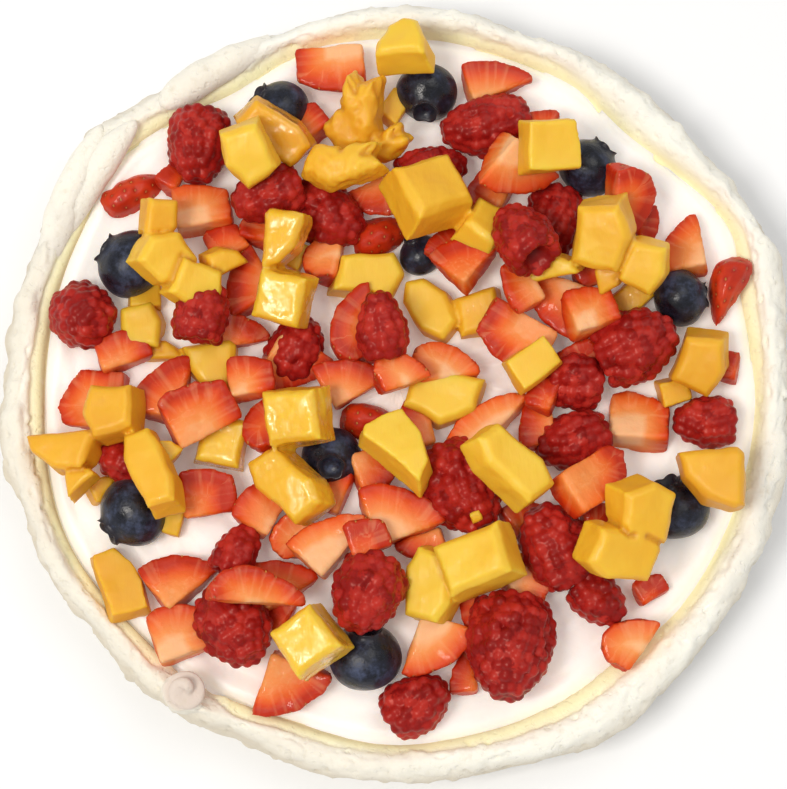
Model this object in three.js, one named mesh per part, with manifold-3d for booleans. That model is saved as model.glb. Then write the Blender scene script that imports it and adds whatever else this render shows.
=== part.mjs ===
// A fruit torte: a round shell of piped meringue, filled with whipped cream and heaped with
// strawberries, raspberries, blueberries and mango. Millimetres, +Z up. The origin is the middle
// of the flat underside, and -Y is the front.

import * as THREE from 'three';
import { mergeVertices } from 'three/addons/utils/BufferGeometryUtils.js';
import Module from 'manifold-3d';

const wasm = await Module();
wasm.setup();

// Driving dimensions of the shell and the cream
const OUTER_RADIUS = 100;
const CREAM_RADIUS = 90.5;
const FLOOR_TOP = 11;
const COIL_JOINT = 13.5;
const LOWER_SHARE = 0.4;
const RIM_TOP = 27.5;
const CREAM_TOP = 19;
const GAP = 0.3;
const SHELL_STEPS = 92;
const CURL_ANGLE = THREE.MathUtils.degToRad(236);

// Driving dimensions of the fruit
const STRAWBERRY_STEPS = 14;
const BERRY_STEPS = 10;
const DRUPELETS_ROUND = 6;
const DRUPELET_ROWS = 6;
const DRUPELET_DEPTH = 0.06;

// How each piece is let down onto the heap
const CELL = 0.5;
const CLEAR_CELLS = 1;
const MAP_HALF = 115;
const TILT_STEP = THREE.MathUtils.degToRad(7);
const TILT_COUNT = 3;
const SLIDE_STEP = 1;
const SLIDE_COUNT = 3;
const SLIDE_COST = 2;
const TILT_COST = 3;

// Where the piped rope swells or narrows: [degrees round from +X, millimetres, half-width in degrees]
const OUTER_SWELLS = [
  [20, 3.2, 8], [70, -2.2, 7], [108, -2.6, 10], [124, -3, 6], [140, 4, 3], [147, 1.6, 5],
  [188, 2.6, 6], [220, -1.5, 4], [247, -3, 6], [302, 4, 12], [326, 1.6, 14],
];
const INNER_SWELLS = [
  [25, 4.5, 7], [48, -4, 8], [119, -3.5, 8], [142, 2.6, 6], [205, 1.8, 12], [256, -1.4, 8], [309, -1.6, 9],
];
const HEIGHT_SWELLS = [
  [5, 0.6, 14], [47, -1.2, 10], [92, 0.8, 16], [140, 1.8, 4], [172, -0.8, 12], [214, 0.7, 14],
  [260, -1.1, 10], [301, 0.9, 14], [338, -0.6, 9],
];

function swell(list, angle) {
  const degrees = THREE.MathUtils.radToDeg(angle);
  let sum = 0;
  for (const [at, size, spread] of list) {
    const away = THREE.MathUtils.euclideanModulo(degrees - at + 180, 360) - 180;
    sum += size * Math.exp(-((away / spread) ** 2));
  }
  return sum;
}

// A ring point moves out and up with the rope, and a point nearer the middle moves less.
function followRope(point) {
  const radius = Math.hypot(point.x, point.y);
  const angle = Math.atan2(point.y, point.x);
  const across = THREE.MathUtils.clamp((radius - CREAM_RADIUS) / (OUTER_RADIUS - CREAM_RADIUS), 0, 1);
  const rope = THREE.MathUtils.smoothstep(point.z, COIL_JOINT - 5, COIL_JOINT + 5);
  const inner = swell(INNER_SWELLS, angle) * Math.min(radius / (CREAM_RADIUS - 5), 1);
  const outer = swell(OUTER_SWELLS, angle) * THREE.MathUtils.lerp(LOWER_SHARE, 1, rope);
  const moved = radius + inner * (1 - across) + outer * across;
  const lift = THREE.MathUtils.clamp((point.z - CREAM_TOP) / (RIM_TOP - CREAM_TOP), 0, 1);
  if (radius > 0) {
    point.x *= moved / radius;
    point.y *= moved / radius;
  }
  point.z += lift * swell(HEIGHT_SWELLS, angle);
}

// Every solid ends as one closed skin with shared corners and no collapsed triangles.
function closedSkin(source) {
  const geometry = source.clone();
  geometry.deleteAttribute('normal');
  geometry.deleteAttribute('uv');
  const merged = mergeVertices(geometry, 1e-4);
  const old = merged.index.array;
  const kept = [];
  for (let i = 0; i < old.length; i += 3) {
    const [a, b, c] = [old[i], old[i + 1], old[i + 2]];
    if (a !== b && b !== c && c !== a) {
      kept.push(a, b, c);
    }
  }
  merged.setIndex(kept);
  return merged;
}

function bendPoints(geometry, bend) {
  const positions = geometry.attributes.position;
  const point = new THREE.Vector3();
  for (let i = 0; i < positions.count; i += 1) {
    point.fromBufferAttribute(positions, i);
    bend(point);
    positions.setXYZ(i, point.x, point.y, point.z);
  }
  return geometry;
}

function turnedProfile(profile, steps) {
  const points = profile.map(([radius, height]) => new THREE.Vector2(radius, height));
  const geometry = new THREE.LatheGeometry(points, steps);
  geometry.rotateX(Math.PI / 2);
  return closedSkin(geometry);
}

// Joins and cuts work on solids, and the rest of the model on geometries.
function solidOf(geometry) {
  const vertProperties = new Float32Array(geometry.attributes.position.array);
  const triVerts = new Uint32Array(geometry.index.array);
  return new wasm.Manifold(new wasm.Mesh({ numProp: 3, vertProperties, triVerts }));
}

function geometryOf(solid) {
  const mesh = solid.getMesh();
  const geometry = new THREE.BufferGeometry();
  geometry.setAttribute('position', new THREE.BufferAttribute(new Float32Array(mesh.vertProperties), 3));
  geometry.setIndex(Array.from(mesh.triVerts));
  return geometry;
}

// The meringue: a flat disc, a thick lower coil and a taller rope piped on its edge, and the small
// curl that the piping bag left where it was pulled away.
function meringueShell() {
  const outer = OUTER_RADIUS;
  const profile = [
    [0, 0],
    [outer - 6, 0],
    [outer - 1.6, 2.4],
    [outer - 0.3, 6.5],
    [outer - 1.1, 10.8],
    [outer - 2.4, COIL_JOINT],
    [outer - 0.4, COIL_JOINT + 3],
    [outer, COIL_JOINT + 6.5],
    [outer - 1.7, RIM_TOP - 2.4],
    [outer - 4.8, RIM_TOP],
    [outer - 7.6, RIM_TOP - 1.8],
    [CREAM_RADIUS + 0.6, CREAM_TOP + 2.6],
    [CREAM_RADIUS - 0.8, CREAM_TOP - 1],
    [CREAM_RADIUS - 4, FLOOR_TOP],
    [0, FLOOR_TOP],
  ];
  const rings = bendPoints(turnedProfile(profile, SHELL_STEPS), followRope);
  return geometryOf(solidOf(rings).add(solidOf(meringueCurl())));
}

// The curl is a plump drop that stands on the rope and leans in over the cream.
function meringueCurl() {
  const profile = [[0, 0], [4.2, 0.6], [5.2, 3.5], [5.3, 6.5], [4.3, 9.5], [2.3, 11.6], [0, 12.4]];
  const sunk = 4;
  const lean = 0.014;
  const curl = turnedProfile(profile, BERRY_STEPS);
  bendPoints(curl, (point) => {
    point.x -= lean * point.z ** 2;
  });
  curl.rotateZ(CURL_ANGLE);
  const radius = (OUTER_RADIUS + CREAM_RADIUS) / 2 - 0.5;
  return curl.translate(radius * Math.cos(CURL_ANGLE), radius * Math.sin(CURL_ANGLE), RIM_TOP - sunk);
}

// Soft strokes of the spreading knife, and a low lip where the cream meets the rope.
function creamRelief(x, y) {
  const radius = Math.hypot(x, y);
  const angle = Math.atan2(y, x);
  const strokes = 0.5 * Math.sin(0.085 * x + 0.05 * y) + 0.4 * Math.sin(0.07 * y - 0.045 * x + 1.3);
  const sweep = 0.45 * Math.sin(radius * 0.16 + 2 * angle);
  const lip = 0.9 * Math.exp(-(((radius - CREAM_RADIUS + 4) / 3) ** 2));
  return strokes + sweep + lip;
}

function whippedCream() {
  const wall = CREAM_RADIUS - GAP;
  const profile = [
    [0, FLOOR_TOP + GAP],
    [wall - 4, FLOOR_TOP + GAP],
    [wall - 0.8, CREAM_TOP - 1],
    [wall - 1.6, CREAM_TOP + 0.2],
    [wall - 4, CREAM_TOP + 0.4],
    [wall - 9, CREAM_TOP],
    [66, CREAM_TOP],
    [40, CREAM_TOP],
    [14, CREAM_TOP],
    [0, CREAM_TOP],
  ];
  return bendPoints(turnedProfile(profile, SHELL_STEPS), (point) => {
    const top = point.z > CREAM_TOP - 0.5;
    followRope(point);
    if (top) {
      point.z += creamRelief(point.x, point.y);
    }
  });
}

// A round berry with a flat crown and a dimple inside it.
function blueberry(width) {
  const radius = width / 2;
  const flat = 0.88;
  const profile = [];
  for (let i = 0; i <= 5; i += 1) {
    const rise = THREE.MathUtils.degToRad(-90 + 28 * i);
    profile.push([radius * Math.cos(rise), radius * flat * Math.sin(rise)]);
  }
  profile.push([radius * 0.38, radius * flat * 1.04]);
  profile.push([radius * 0.22, radius * flat * 0.8], [0, radius * flat * 0.76]);
  profile[0][0] = 0;
  return turnedProfile(profile, BERRY_STEPS);
}

// A blunt cone of drupelets, with the dimple that is left where it was picked.
function raspberry(length, width) {
  const girth = [[0.2, 0.02], [0.42, 0.06], [0.5, 0.3], [0.46, 0.56], [0.34, 0.8], [0.16, 0.95]];
  const profile = [[0, 0.22 * length]];
  for (const [across, along] of girth) {
    profile.push([across * width, along * length]);
  }
  profile.push([0, length]);
  const geometry = turnedProfile(profile, 2 * DRUPELETS_ROUND);
  bendPoints(geometry, (point) => {
    const row = Math.round((DRUPELET_ROWS * point.z) / length);
    const lobe = Math.cos(DRUPELETS_ROUND * Math.atan2(point.y, point.x) + row * Math.PI);
    point.x *= 1 + DRUPELET_DEPTH * lobe;
    point.y *= 1 + DRUPELET_DEPTH * lobe;
  });
  return geometry.translate(0, 0, -length / 2);
}

// Knife cuts of mango seen from above, each in a square of side 1.
const MANGO_CUTS = {
  cube: [[-0.5, -0.42], [0.42, -0.5], [0.5, 0.4], [-0.4, 0.5]],
  block: [[-0.5, -0.3], [0, -0.5], [0.5, -0.34], [0.42, 0.4], [-0.36, 0.5]],
  slab: [[-0.5, -0.3], [-0.2, -0.5], [0.44, -0.42], [0.5, 0.3], [0.2, 0.5], [-0.46, 0.34]],
  wedge: [[-0.5, -0.5], [0.5, -0.1], [0.34, 0.3], [0, 0.5], [-0.4, 0.46]],
  quarter: [[-0.5, 0.4], [-0.4, 0], [-0.1, -0.32], [0.3, -0.5], [0.46, -0.46], [0.5, 0.4], [0.4, 0.5]],
  dome: [[-0.48, -0.5], [0.48, -0.5], [0.5, -0.1], [0.32, 0.36], [0, 0.5], [-0.32, 0.36], [-0.5, -0.1]],
  kite: [[-0.5, 0.02], [-0.16, -0.5], [0.3, -0.42], [0.5, 0.1], [0.1, 0.46], [-0.3, 0.5]],
  pear: [[-0.5, -0.05], [-0.28, -0.42], [0.2, -0.5], [0.5, -0.2], [0.42, 0.3], [0, 0.5], [-0.38, 0.3]],
  torn: [
    [-0.5, -0.1], [-0.2, -0.5], [0.16, -0.34], [0.5, -0.16], [0.3, 0.14], [0.42, 0.44], [0, 0.34], [-0.3, 0.5],
  ],
};

function mangoChunk(cut, length, width, height) {
  const bevel = 0.12 * Math.min(length, width, height);
  const corners = MANGO_CUTS[cut].map(([x, y]) => new THREE.Vector2(x * length, y * width));
  const geometry = new THREE.ExtrudeGeometry(new THREE.Shape(corners), {
    depth: height - 2 * bevel,
    bevelEnabled: true,
    bevelSegments: 1,
    bevelThickness: bevel,
    bevelSize: bevel,
    bevelOffset: -bevel,
  });
  geometry.translate(0, 0, bevel - height / 2);
  bendPoints(geometry, (point) => {
    const taper = 1 - 0.12 * (point.z / height + 0.5);
    point.x *= taper;
    point.y *= taper;
  });
  return closedSkin(geometry);
}

function turnedChunk(cut, turn, length, width, height) {
  return mangoChunk(cut, length, width, height).rotateZ(THREE.MathUtils.degToRad(turn));
}

// Wet chunks that touch hold together, so a chunk at (x, y) and the ones stuck to it are one body.
function withStuckChunks(chunk, stuck, x, y) {
  let body = solidOf(chunk);
  for (const [, cut, stuckX, stuckY, turn, length, width, height, lift] of stuck) {
    const other = turnedChunk(cut, turn, length, width, height).translate(stuckX - x, stuckY - y, lift);
    body = body.add(solidOf(other));
  }
  return geometryOf(body);
}

// Boxes that cut a whole strawberry, whose axis lies along X with its tip at +X. Length and width are 1.
const STRAWBERRY_CUTS = {
  cap: [[-1, -1, 0.2], [1, 1, 1]],
  slice: [[-1, 0.04, -0.26], [1, 1, 0.02]],
  wedge: [[-0.15, 0.02, -1], [1, 1, 0.02]],
  dice: [[-0.3, 0.06, -1], [0.22, 1, 0]],
};

function wholeStrawberry() {
  const profile = [
    [0, -0.42], [0.22, -0.5], [0.42, -0.38], [0.5, -0.16], [0.46, 0.06], [0.34, 0.28], [0.16, 0.45], [0, 0.5],
  ];
  return turnedProfile(profile, STRAWBERRY_STEPS).rotateY(Math.PI / 2);
}

function strawberryPiece(cut, length, width, height) {
  const [low, high] = STRAWBERRY_CUTS[cut].map((corner) => new THREE.Vector3(...corner));
  const size = high.clone().sub(low);
  const middle = high.clone().add(low).multiplyScalar(0.5);
  const box = new THREE.BoxGeometry(size.x, size.y, size.z).translate(middle.x, middle.y, middle.z);
  const geometry = geometryOf(solidOf(wholeStrawberry()).intersect(solidOf(closedSkin(box))));
  geometry.computeBoundingBox();
  const extent = geometry.boundingBox.getSize(new THREE.Vector3());
  geometry.center();
  geometry.scale(length / extent.x, width / extent.y, height / extent.z);
  return closedSkin(geometry);
}

// The heap so far, as the height of its top over each cell of a square map.
const MAP_SIDE = Math.round((2 * MAP_HALF) / CELL);
const heapTop = new Float32Array(MAP_SIDE * MAP_SIDE);

// Calls visit(column, row, z) for each cell middle under a triangle, and for each of its corners.
function eachCell(geometry, side, visit) {
  const positions = geometry.attributes.position;
  const index = geometry.index.array;
  const [a, b, c] = [new THREE.Vector3(), new THREE.Vector3(), new THREE.Vector3()];
  const cellOf = (value) => Math.floor((value + MAP_HALF) / CELL);
  for (let i = 0; i < index.length; i += 3) {
    a.fromBufferAttribute(positions, index[i]);
    b.fromBufferAttribute(positions, index[i + 1]);
    c.fromBufferAttribute(positions, index[i + 2]);
    const area = (b.x - a.x) * (c.y - a.y) - (c.x - a.x) * (b.y - a.y);
    if (area * side <= 1e-9) {
      continue;
    }
    for (const corner of [a, b, c]) {
      visit(cellOf(corner.x), cellOf(corner.y), corner.z);
    }
    const lastColumn = cellOf(Math.max(a.x, b.x, c.x));
    const lastRow = cellOf(Math.max(a.y, b.y, c.y));
    for (let row = cellOf(Math.min(a.y, b.y, c.y)); row <= lastRow; row += 1) {
      for (let column = cellOf(Math.min(a.x, b.x, c.x)); column <= lastColumn; column += 1) {
        const x = (column + 0.5) * CELL - MAP_HALF;
        const y = (row + 0.5) * CELL - MAP_HALF;
        const u = ((b.x - x) * (c.y - y) - (c.x - x) * (b.y - y)) / area;
        const v = ((c.x - x) * (a.y - y) - (a.x - x) * (c.y - y)) / area;
        if (u >= 0 && v >= 0 && u + v <= 1) {
          visit(column, row, u * a.z + v * b.z + (1 - u - v) * c.z);
        }
      }
    }
  }
}

// A placed piece raises the map over its own outline and a narrow border round it.
function addToHeap(geometry) {
  eachCell(geometry, 1, (column, row, z) => {
    for (let dy = -CLEAR_CELLS; dy <= CLEAR_CELLS; dy += 1) {
      for (let dx = -CLEAR_CELLS; dx <= CLEAR_CELLS; dx += 1) {
        const cell = (row + dy) * MAP_SIDE + column + dx;
        heapTop[cell] = Math.max(heapTop[cell], z);
      }
    }
  });
}

function undersideOf(geometry) {
  const lowest = new Map();
  eachCell(geometry, -1, (column, row, z) => {
    const cell = row * MAP_SIDE + column;
    lowest.set(cell, Math.min(lowest.get(cell) ?? Infinity, z));
  });
  return [...lowest];
}

// The height at which an underside, moved by whole cells, first rests on the heap, or no answer
// once it is above the limit.
function restingHeight(underside, cells, limit) {
  let height = -Infinity;
  for (const [cell, z] of underside) {
    height = Math.max(height, heapTop[cell + cells] + GAP - z);
    if (height > limit) {
      return Infinity;
    }
  }
  return height;
}

// Lets a piece down at (x, y). It may lean and slide a little, to where its middle lies lowest.
function letDown(piece, x, y, canLean) {
  const leans = canLean ? TILT_COUNT : 0;
  const cellsPerSlide = Math.round(SLIDE_STEP / CELL);
  let best = { score: Infinity };
  for (let i = -leans; i <= leans; i += 1) {
    for (let j = -leans; j <= leans; j += 1) {
      const leaning = piece.clone().rotateX(i * TILT_STEP).rotateY(j * TILT_STEP).translate(x, y, 0);
      const underside = undersideOf(leaning);
      const leanCost = TILT_COST * TILT_STEP * Math.hypot(i, j);
      for (let across = -SLIDE_COUNT; across <= SLIDE_COUNT; across += 1) {
        for (let along = -SLIDE_COUNT; along <= SLIDE_COUNT; along += 1) {
          const cost = leanCost + SLIDE_COST * SLIDE_STEP * Math.hypot(across, along);
          const cells = (along * MAP_SIDE + across) * cellsPerSlide;
          const height = restingHeight(underside, cells, best.score - cost);
          if (height + cost < best.score) {
            best = { score: height + cost, leaning, height, dx: across * SLIDE_STEP, dy: along * SLIDE_STEP };
          }
        }
      }
    }
  }
  const placed = best.leaning.translate(best.dx, best.dy, best.height);
  addToHeap(placed);
  return placed;
}

// Points a piece's own Z axis along a compass direction and a rise above the level, both in degrees.
function pointAxis(geometry, compass, rise) {
  geometry.rotateY(THREE.MathUtils.degToRad(90 - rise));
  return geometry.rotateZ(THREE.MathUtils.degToRad(compass));
}

// [cut, x, y, turn, length, width, height]
const STRAWBERRIES = [
  ['cap', -67, 49.5, 28, 20, 10, 7],
  ['dice', -17, 80, 185, 17, 12, 10],
  ['wedge', 29, 51, 236, 15, 16, 10],
  ['slice', 58.5, 44.5, 275, 20, 11, 8],
  ['cap', 82.5, 23.5, 262, 18, 12, 7],
  ['dice', -76.5, -4.5, 85, 14, 16, 10],
  ['dice', 62, -10, 355, 14.5, 13, 11],
  ['dice', 48.5, -26, 300, 11, 19, 9],
  ['slice', -34.5, -52, 357, 24, 8.5, 8],
  ['wedge', -25.5, -77.5, 249, 16, 16, 10],
];

// [x, y, width, compass of the crown, its rise]
const BLUEBERRIES = [
  [-30, 70, 16, 150, 25],
  [7.5, 75, 16, 265, 32],
  [48.5, 55, 16, 50, 10],
  [6, 33, 11.5, 120, 30],
  [-67.5, 30, 18, 150, 8],
  [71.5, 21.5, 15, 5, 10],
  [-16.5, -19, 15.5, 270, 63],
  [-66, -33, 18, 220, 8],
  [70, -32, 17, 115, 25],
  [-8, -69, 18.5, 88, 35],
];

// [x, y, length, width, compass of the tip, its rise]
const RASPBERRIES = [
  [-50.5, 59.5, 18.5, 16.5, 268, 10],
  [21.5, 65.5, 22, 16, 188, 10],
  [-17, 42, 19, 16.5, 330, 10],
  [39.5, 40.5, 19, 14, 262, 8],
  [-78.5, 16, 15.5, 16.5, 320, 55],
  [-25, 9.5, 15, 14, 60, 20],
  [61, 9.5, 20, 18.5, 20, 15],
  [42.5, 1.5, 15.5, 15, 175, 10],
  [43, -13.5, 18, 15, 190, 12],
  [76.5, -10, 14.5, 13, 180, 5],
  [16.5, -28.5, 23, 20, 300, 15],
  [38.5, -40.5, 20, 18, 120, 20],
  [-8, -55, 18.5, 17.5, 250, 25],
  [-39.5, -62.5, 20, 18.5, 300, 30],
  [27.5, -68, 25, 21.5, 265, 20],
  [4.5, -79, 16, 14.5, 30, 15],
];

// [cut, x, y, turn, length, width, height]
const MANGOES = [
  ['dome', 2, 84.5, 0, 14.5, 12.5, 11],
  ['torn', -10, 70.5, 60, 25, 15, 10],
  ['slab', -31, 62, 322, 21, 12, 10],
  ['torn', -14, 52.5, 5, 25, 13, 10],
  ['block', -37, 54.5, 300, 17, 14, 11],
  ['cube', 4.5, 48.5, 25, 20, 18.5, 13],
  ['block', 51, 35, 85, 20, 16, 13],
  ['kite', -58, 29, 180, 17.5, 14.5, 10],
  ['cube', -28.5, 19.5, 350, 15, 15, 11],
  ['block', -5.5, 28, 90, 13, 20, 11],
  ['quarter', -46.5, 4, 0, 15.5, 16, 12],
  ['pear', 7.5, 20, 308, 20, 12, 10],
  ['wedge', -83.5, -17.5, 170, 21, 12, 9],
  ['cube', -44, -15, 355, 14, 15, 12],
  ['slab', -26.5, -26.5, 312, 23, 13.5, 11],
  ['kite', 12, -4, 15, 24, 15, 12],
  ['slab', 27, -23, 314, 24, 13, 12],
  ['block', 74, 3.5, 75, 17, 14, 11],
  ['quarter', 77, -26, 0, 18, 17, 11],
  ['block', 59.5, -34, 180, 16.5, 17.5, 11],
  ['cube', -21.5, -62.5, 40, 16, 16, 12],
  ['cube', 20, -46, 25, 21, 16, 13],
];

// Chunks that stick to one of those: [its number, cut, x, y, turn, length, width, height, how much
// higher its middle is]
const STUCK_MANGOES = [
  [2, 'torn', -3, 62.5, 20, 15, 10, 8, -1],
  [6, 'block', 19.5, 41, 60, 15, 13, 10, -2],
  [7, 'block', 60.5, 26, 70, 15, 12.5, 10, -2],
  [7, 'wedge', 52.5, 24, 10, 10, 9, 7, -2],
  [7, 'wedge', 38, 27, 0, 16, 8, 7, 0],
  [8, 'cube', -59.5, 39.5, 5, 10, 11, 8, -2],
  [8, 'block', -51, 23, 350, 15, 13, 10, 2],
  [8, 'wedge', -42.5, 29, 20, 13, 9, 8, 0],
  [9, 'quarter', -27.5, 33.5, 80, 16, 12, 11, 0],
  [11, 'wedge', -60, 9, 350, 15, 8, 7, -2],
  [11, 'block', -63.5, 15, 100, 14, 12.5, 10, -1],
  [12, 'cube', 20, 18.5, 20, 14, 12, 10, -1],
  [13, 'block', -70, -9, 280, 15, 15, 11, 1],
  [13, 'slab', -59, -24, 294, 23.5, 11, 10, 0],
  [13, 'wedge', -78, -25.5, 20, 9, 8, 7, -1],
  [15, 'cube', -23.5, -10, 10, 17, 16, 12, 1],
  [20, 'slab', 54.5, -44, 350, 20, 15, 11, 0],
  [22, 'slab', 7, -51.5, 80, 20, 14, 11, -2],
];

const FINISHES = {
  meringue_shell: { color: '#f7f1de', roughness: 0.75 },
  whipped_cream: { color: '#fbf3ec', roughness: 0.5 },
  strawberry: { color: '#d2451f', roughness: 0.35 },
  blueberry: { color: '#2b2d42', roughness: 0.5 },
  raspberry: { color: '#a82a2a', roughness: 0.4 },
  mango: { color: '#efb83a', roughness: 0.3 },
};

const torte = new THREE.Group();

function addPiece(name, finish, geometry) {
  const material = new THREE.MeshStandardMaterial({ ...FINISHES[finish], metalness: 0 });
  const mesh = new THREE.Mesh(geometry, material);
  mesh.name = name;
  torte.add(mesh);
}

function addFruit(finish, number, geometry) {
  addPiece(`${finish}_${String(number).padStart(2, '0')}`, finish, geometry);
}

for (const [name, geometry] of [['meringue_shell', meringueShell()], ['whipped_cream', whippedCream()]]) {
  addToHeap(geometry);
  addPiece(name, name, geometry);
}

BLUEBERRIES.forEach(([x, y, width, compass, rise], i) => {
  addFruit('blueberry', i + 1, letDown(pointAxis(blueberry(width), compass, rise), x, y, false));
});

RASPBERRIES.forEach(([x, y, length, width, compass, rise], i) => {
  addFruit('raspberry', i + 1, letDown(pointAxis(raspberry(length, width), compass, rise), x, y, false));
});

STRAWBERRIES.forEach(([cut, x, y, turn, length, width, height], i) => {
  const piece = strawberryPiece(cut, length, width, height).rotateZ(THREE.MathUtils.degToRad(turn));
  addFruit('strawberry', i + 1, letDown(piece, x, y, true));
});

MANGOES.forEach(([cut, x, y, turn, length, width, height], i) => {
  const piece = turnedChunk(cut, turn, length, width, height);
  const stuck = STUCK_MANGOES.filter(([host]) => host === i + 1);
  const cluster = stuck.length > 0 ? withStuckChunks(piece, stuck, x, y) : piece;
  addFruit('mango', i + 1, letDown(cluster, x, y, true));
});

export default torte;
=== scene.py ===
"""A fruit torte: a piped meringue shell, whipped cream, and a heap of cut fruit and berries."""

import math
import random

import bmesh
import bpy
import numpy as np
from mathutils import Euler, Matrix, Vector, noise
from mathutils.bvhtree import BVHTree
from mathutils.kdtree import KDTree


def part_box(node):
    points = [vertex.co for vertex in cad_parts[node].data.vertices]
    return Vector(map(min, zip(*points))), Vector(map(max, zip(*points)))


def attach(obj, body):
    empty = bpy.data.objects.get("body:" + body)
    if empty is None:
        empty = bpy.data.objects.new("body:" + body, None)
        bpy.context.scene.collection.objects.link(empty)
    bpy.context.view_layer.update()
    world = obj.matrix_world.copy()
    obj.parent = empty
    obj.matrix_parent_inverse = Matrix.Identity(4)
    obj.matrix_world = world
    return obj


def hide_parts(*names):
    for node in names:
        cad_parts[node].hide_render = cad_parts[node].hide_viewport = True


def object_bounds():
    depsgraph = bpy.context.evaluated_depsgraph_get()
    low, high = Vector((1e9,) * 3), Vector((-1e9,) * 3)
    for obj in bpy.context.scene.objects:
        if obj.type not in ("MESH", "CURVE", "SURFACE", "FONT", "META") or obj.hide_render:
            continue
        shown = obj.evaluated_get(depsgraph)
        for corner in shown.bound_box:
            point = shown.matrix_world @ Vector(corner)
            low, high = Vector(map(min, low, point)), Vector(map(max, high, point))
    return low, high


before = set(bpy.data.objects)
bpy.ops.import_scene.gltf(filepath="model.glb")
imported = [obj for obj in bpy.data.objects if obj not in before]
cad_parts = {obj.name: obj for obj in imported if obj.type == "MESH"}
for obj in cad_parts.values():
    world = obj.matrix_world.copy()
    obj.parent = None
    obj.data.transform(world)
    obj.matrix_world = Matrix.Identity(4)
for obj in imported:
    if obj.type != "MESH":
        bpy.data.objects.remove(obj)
cad_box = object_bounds()
scene = bpy.context.scene
MM = 0.001


# ----------------------------------------
# The studio: a pale matt table under one large soft lamp from the front left, a weak one from
# the right and a white room. The camera looks down on the torte from just in front of it.

def linear(code):
    """An sRGB hex colour as the linear numbers that a shader takes, with an alpha of 1."""
    parts = [int(code[i:i + 2], 16) / 255 for i in (1, 3, 5)]
    return [p / 12.92 if p <= 0.04045 else ((p + 0.055) / 1.055) ** 2.4 for p in parts] + [1.0]


def add(tree, kind, inputs=(), stops=(), **settings):
    """Adds a node with its settings, and sets or links its inputs, by name or in their order. A node
    among them stands for its factor or its first result, and a hex code for its colour. Stops fill
    a colour ramp. A kind of shader node goes by the end of its name."""
    made = tree.nodes.new(kind if "Node" in kind else "ShaderNode" + kind)
    for name, value in settings.items():
        setattr(made, name, value)
    for key, value in inputs.items() if isinstance(inputs, dict) else enumerate(inputs):
        if isinstance(value, bpy.types.Node):
            value = value.outputs.get("Fac") or next(o for o in value.outputs if o.enabled)
        if isinstance(value, bpy.types.NodeSocket):
            tree.links.new(value, made.inputs[key])
        else:
            is_colour = isinstance(value, str) and value.startswith("#")
            made.inputs[key].default_value = linear(value) if is_colour else value
    if stops:
        elements = made.color_ramp.elements
        while len(elements) < len(stops):
            elements.new(1)
        for element, (place, code) in zip(elements, stops):
            element.position = place
            element.color = linear(code)
    return made


def new_material(name):
    """A material whose tree is empty but for the place on the object, with the tree and the place."""
    material = bpy.data.materials.new(name)
    material.use_nodes = True
    tree = material.node_tree
    tree.nodes.clear()
    return material, tree, add(tree, "TexCoord").outputs["Object"]


def dress(tree, look):
    """Ends a material's tree with its shader, which has this look."""
    add(tree, "OutputMaterial", {"Surface": add(tree, "BsdfPrincipled", look)})


def place_mesh(name, mesh, material):
    """A finished mesh as an object at the origin, with smooth faces."""
    piece = bpy.data.objects.new(name, mesh)
    scene.collection.objects.link(piece)
    mesh.materials.clear()
    mesh.materials.append(material)
    mesh.shade_smooth()
    return piece


def set_piece(name, mesh, material, node=None):
    """A finished mesh as a piece of the torte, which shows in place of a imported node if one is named."""
    piece = place_mesh(name, mesh, material)
    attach(piece, "root")
    if node:
        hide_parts(node)


scene.view_settings.view_transform = "Standard"
low_corner, high_corner = cad_box
middle = (low_corner + high_corner) / 2
span = high_corner.x - low_corner.x

# Painted table top: it only has to be pale and even.
table_paint, tree, _ = new_material("matt_white_table_paint")
dress(tree, {"Base Color": "#F7F9FC", "Roughness": 0.9})
table_mesh = bpy.data.meshes.new("table_top")
TABLE_REACH = 12 * span
table_corners = [(x * TABLE_REACH, y * TABLE_REACH, 0) for x, y in ((-1, -1), (1, -1), (1, 1), (-1, 1))]
table_mesh.from_pydata(table_corners, [], [(0, 1, 2, 3)])
place_mesh("table_top", table_mesh, table_paint)

world = bpy.data.worlds.new("white_room")
world.use_nodes = True
backdrop = world.node_tree.nodes["Background"]
backdrop.inputs["Color"].default_value = linear("#FFFFFF")
backdrop.inputs["Strength"].default_value = 0.49
scene.world = world


def soft_lamp(name, place, width, power, colour):
    """A square area lamp that faces the torte. Place is in spans of the torte from its middle."""
    data = bpy.data.lights.new(name, "AREA")
    data.size = width * span
    data.energy = power
    data.color = linear(colour)[:3]
    lamp = bpy.data.objects.new(name, data)
    scene.collection.objects.link(lamp)
    lamp.location = middle + Vector(place) * span
    lamp.rotation_euler = (middle - lamp.location).to_track_quat("-Z", "Y").to_euler()


soft_lamp("key_lamp", (-2.5, -1.2, 6.3), 2.1, 10.4, "#FFF9F0")
soft_lamp("fill_lamp", (2.2, 2.4, 7.0), 4.4, 4.7, "#FFFDFA")

camera_data = bpy.data.cameras.new("camera")
camera = bpy.data.objects.new("camera", camera_data)
scene.collection.objects.link(camera)
scene.camera = camera
CAMERA_RISE = math.radians(82)
CAMERA_DISTANCE = 0.64
VIEW_WIDTH = 0.1977
LOOK_AT = Vector((-0.0010, -0.0036, 0.030))
camera.location = LOOK_AT + CAMERA_DISTANCE * Vector((0, -math.cos(CAMERA_RISE), math.sin(CAMERA_RISE)))
camera.rotation_euler = (LOOK_AT - camera.location).to_track_quat("-Z", "Y").to_euler()
camera_data.sensor_width = 36
camera_data.lens = camera_data.sensor_width * CAMERA_DISTANCE / VIEW_WIDTH
camera_data.clip_start = 0.05


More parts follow.
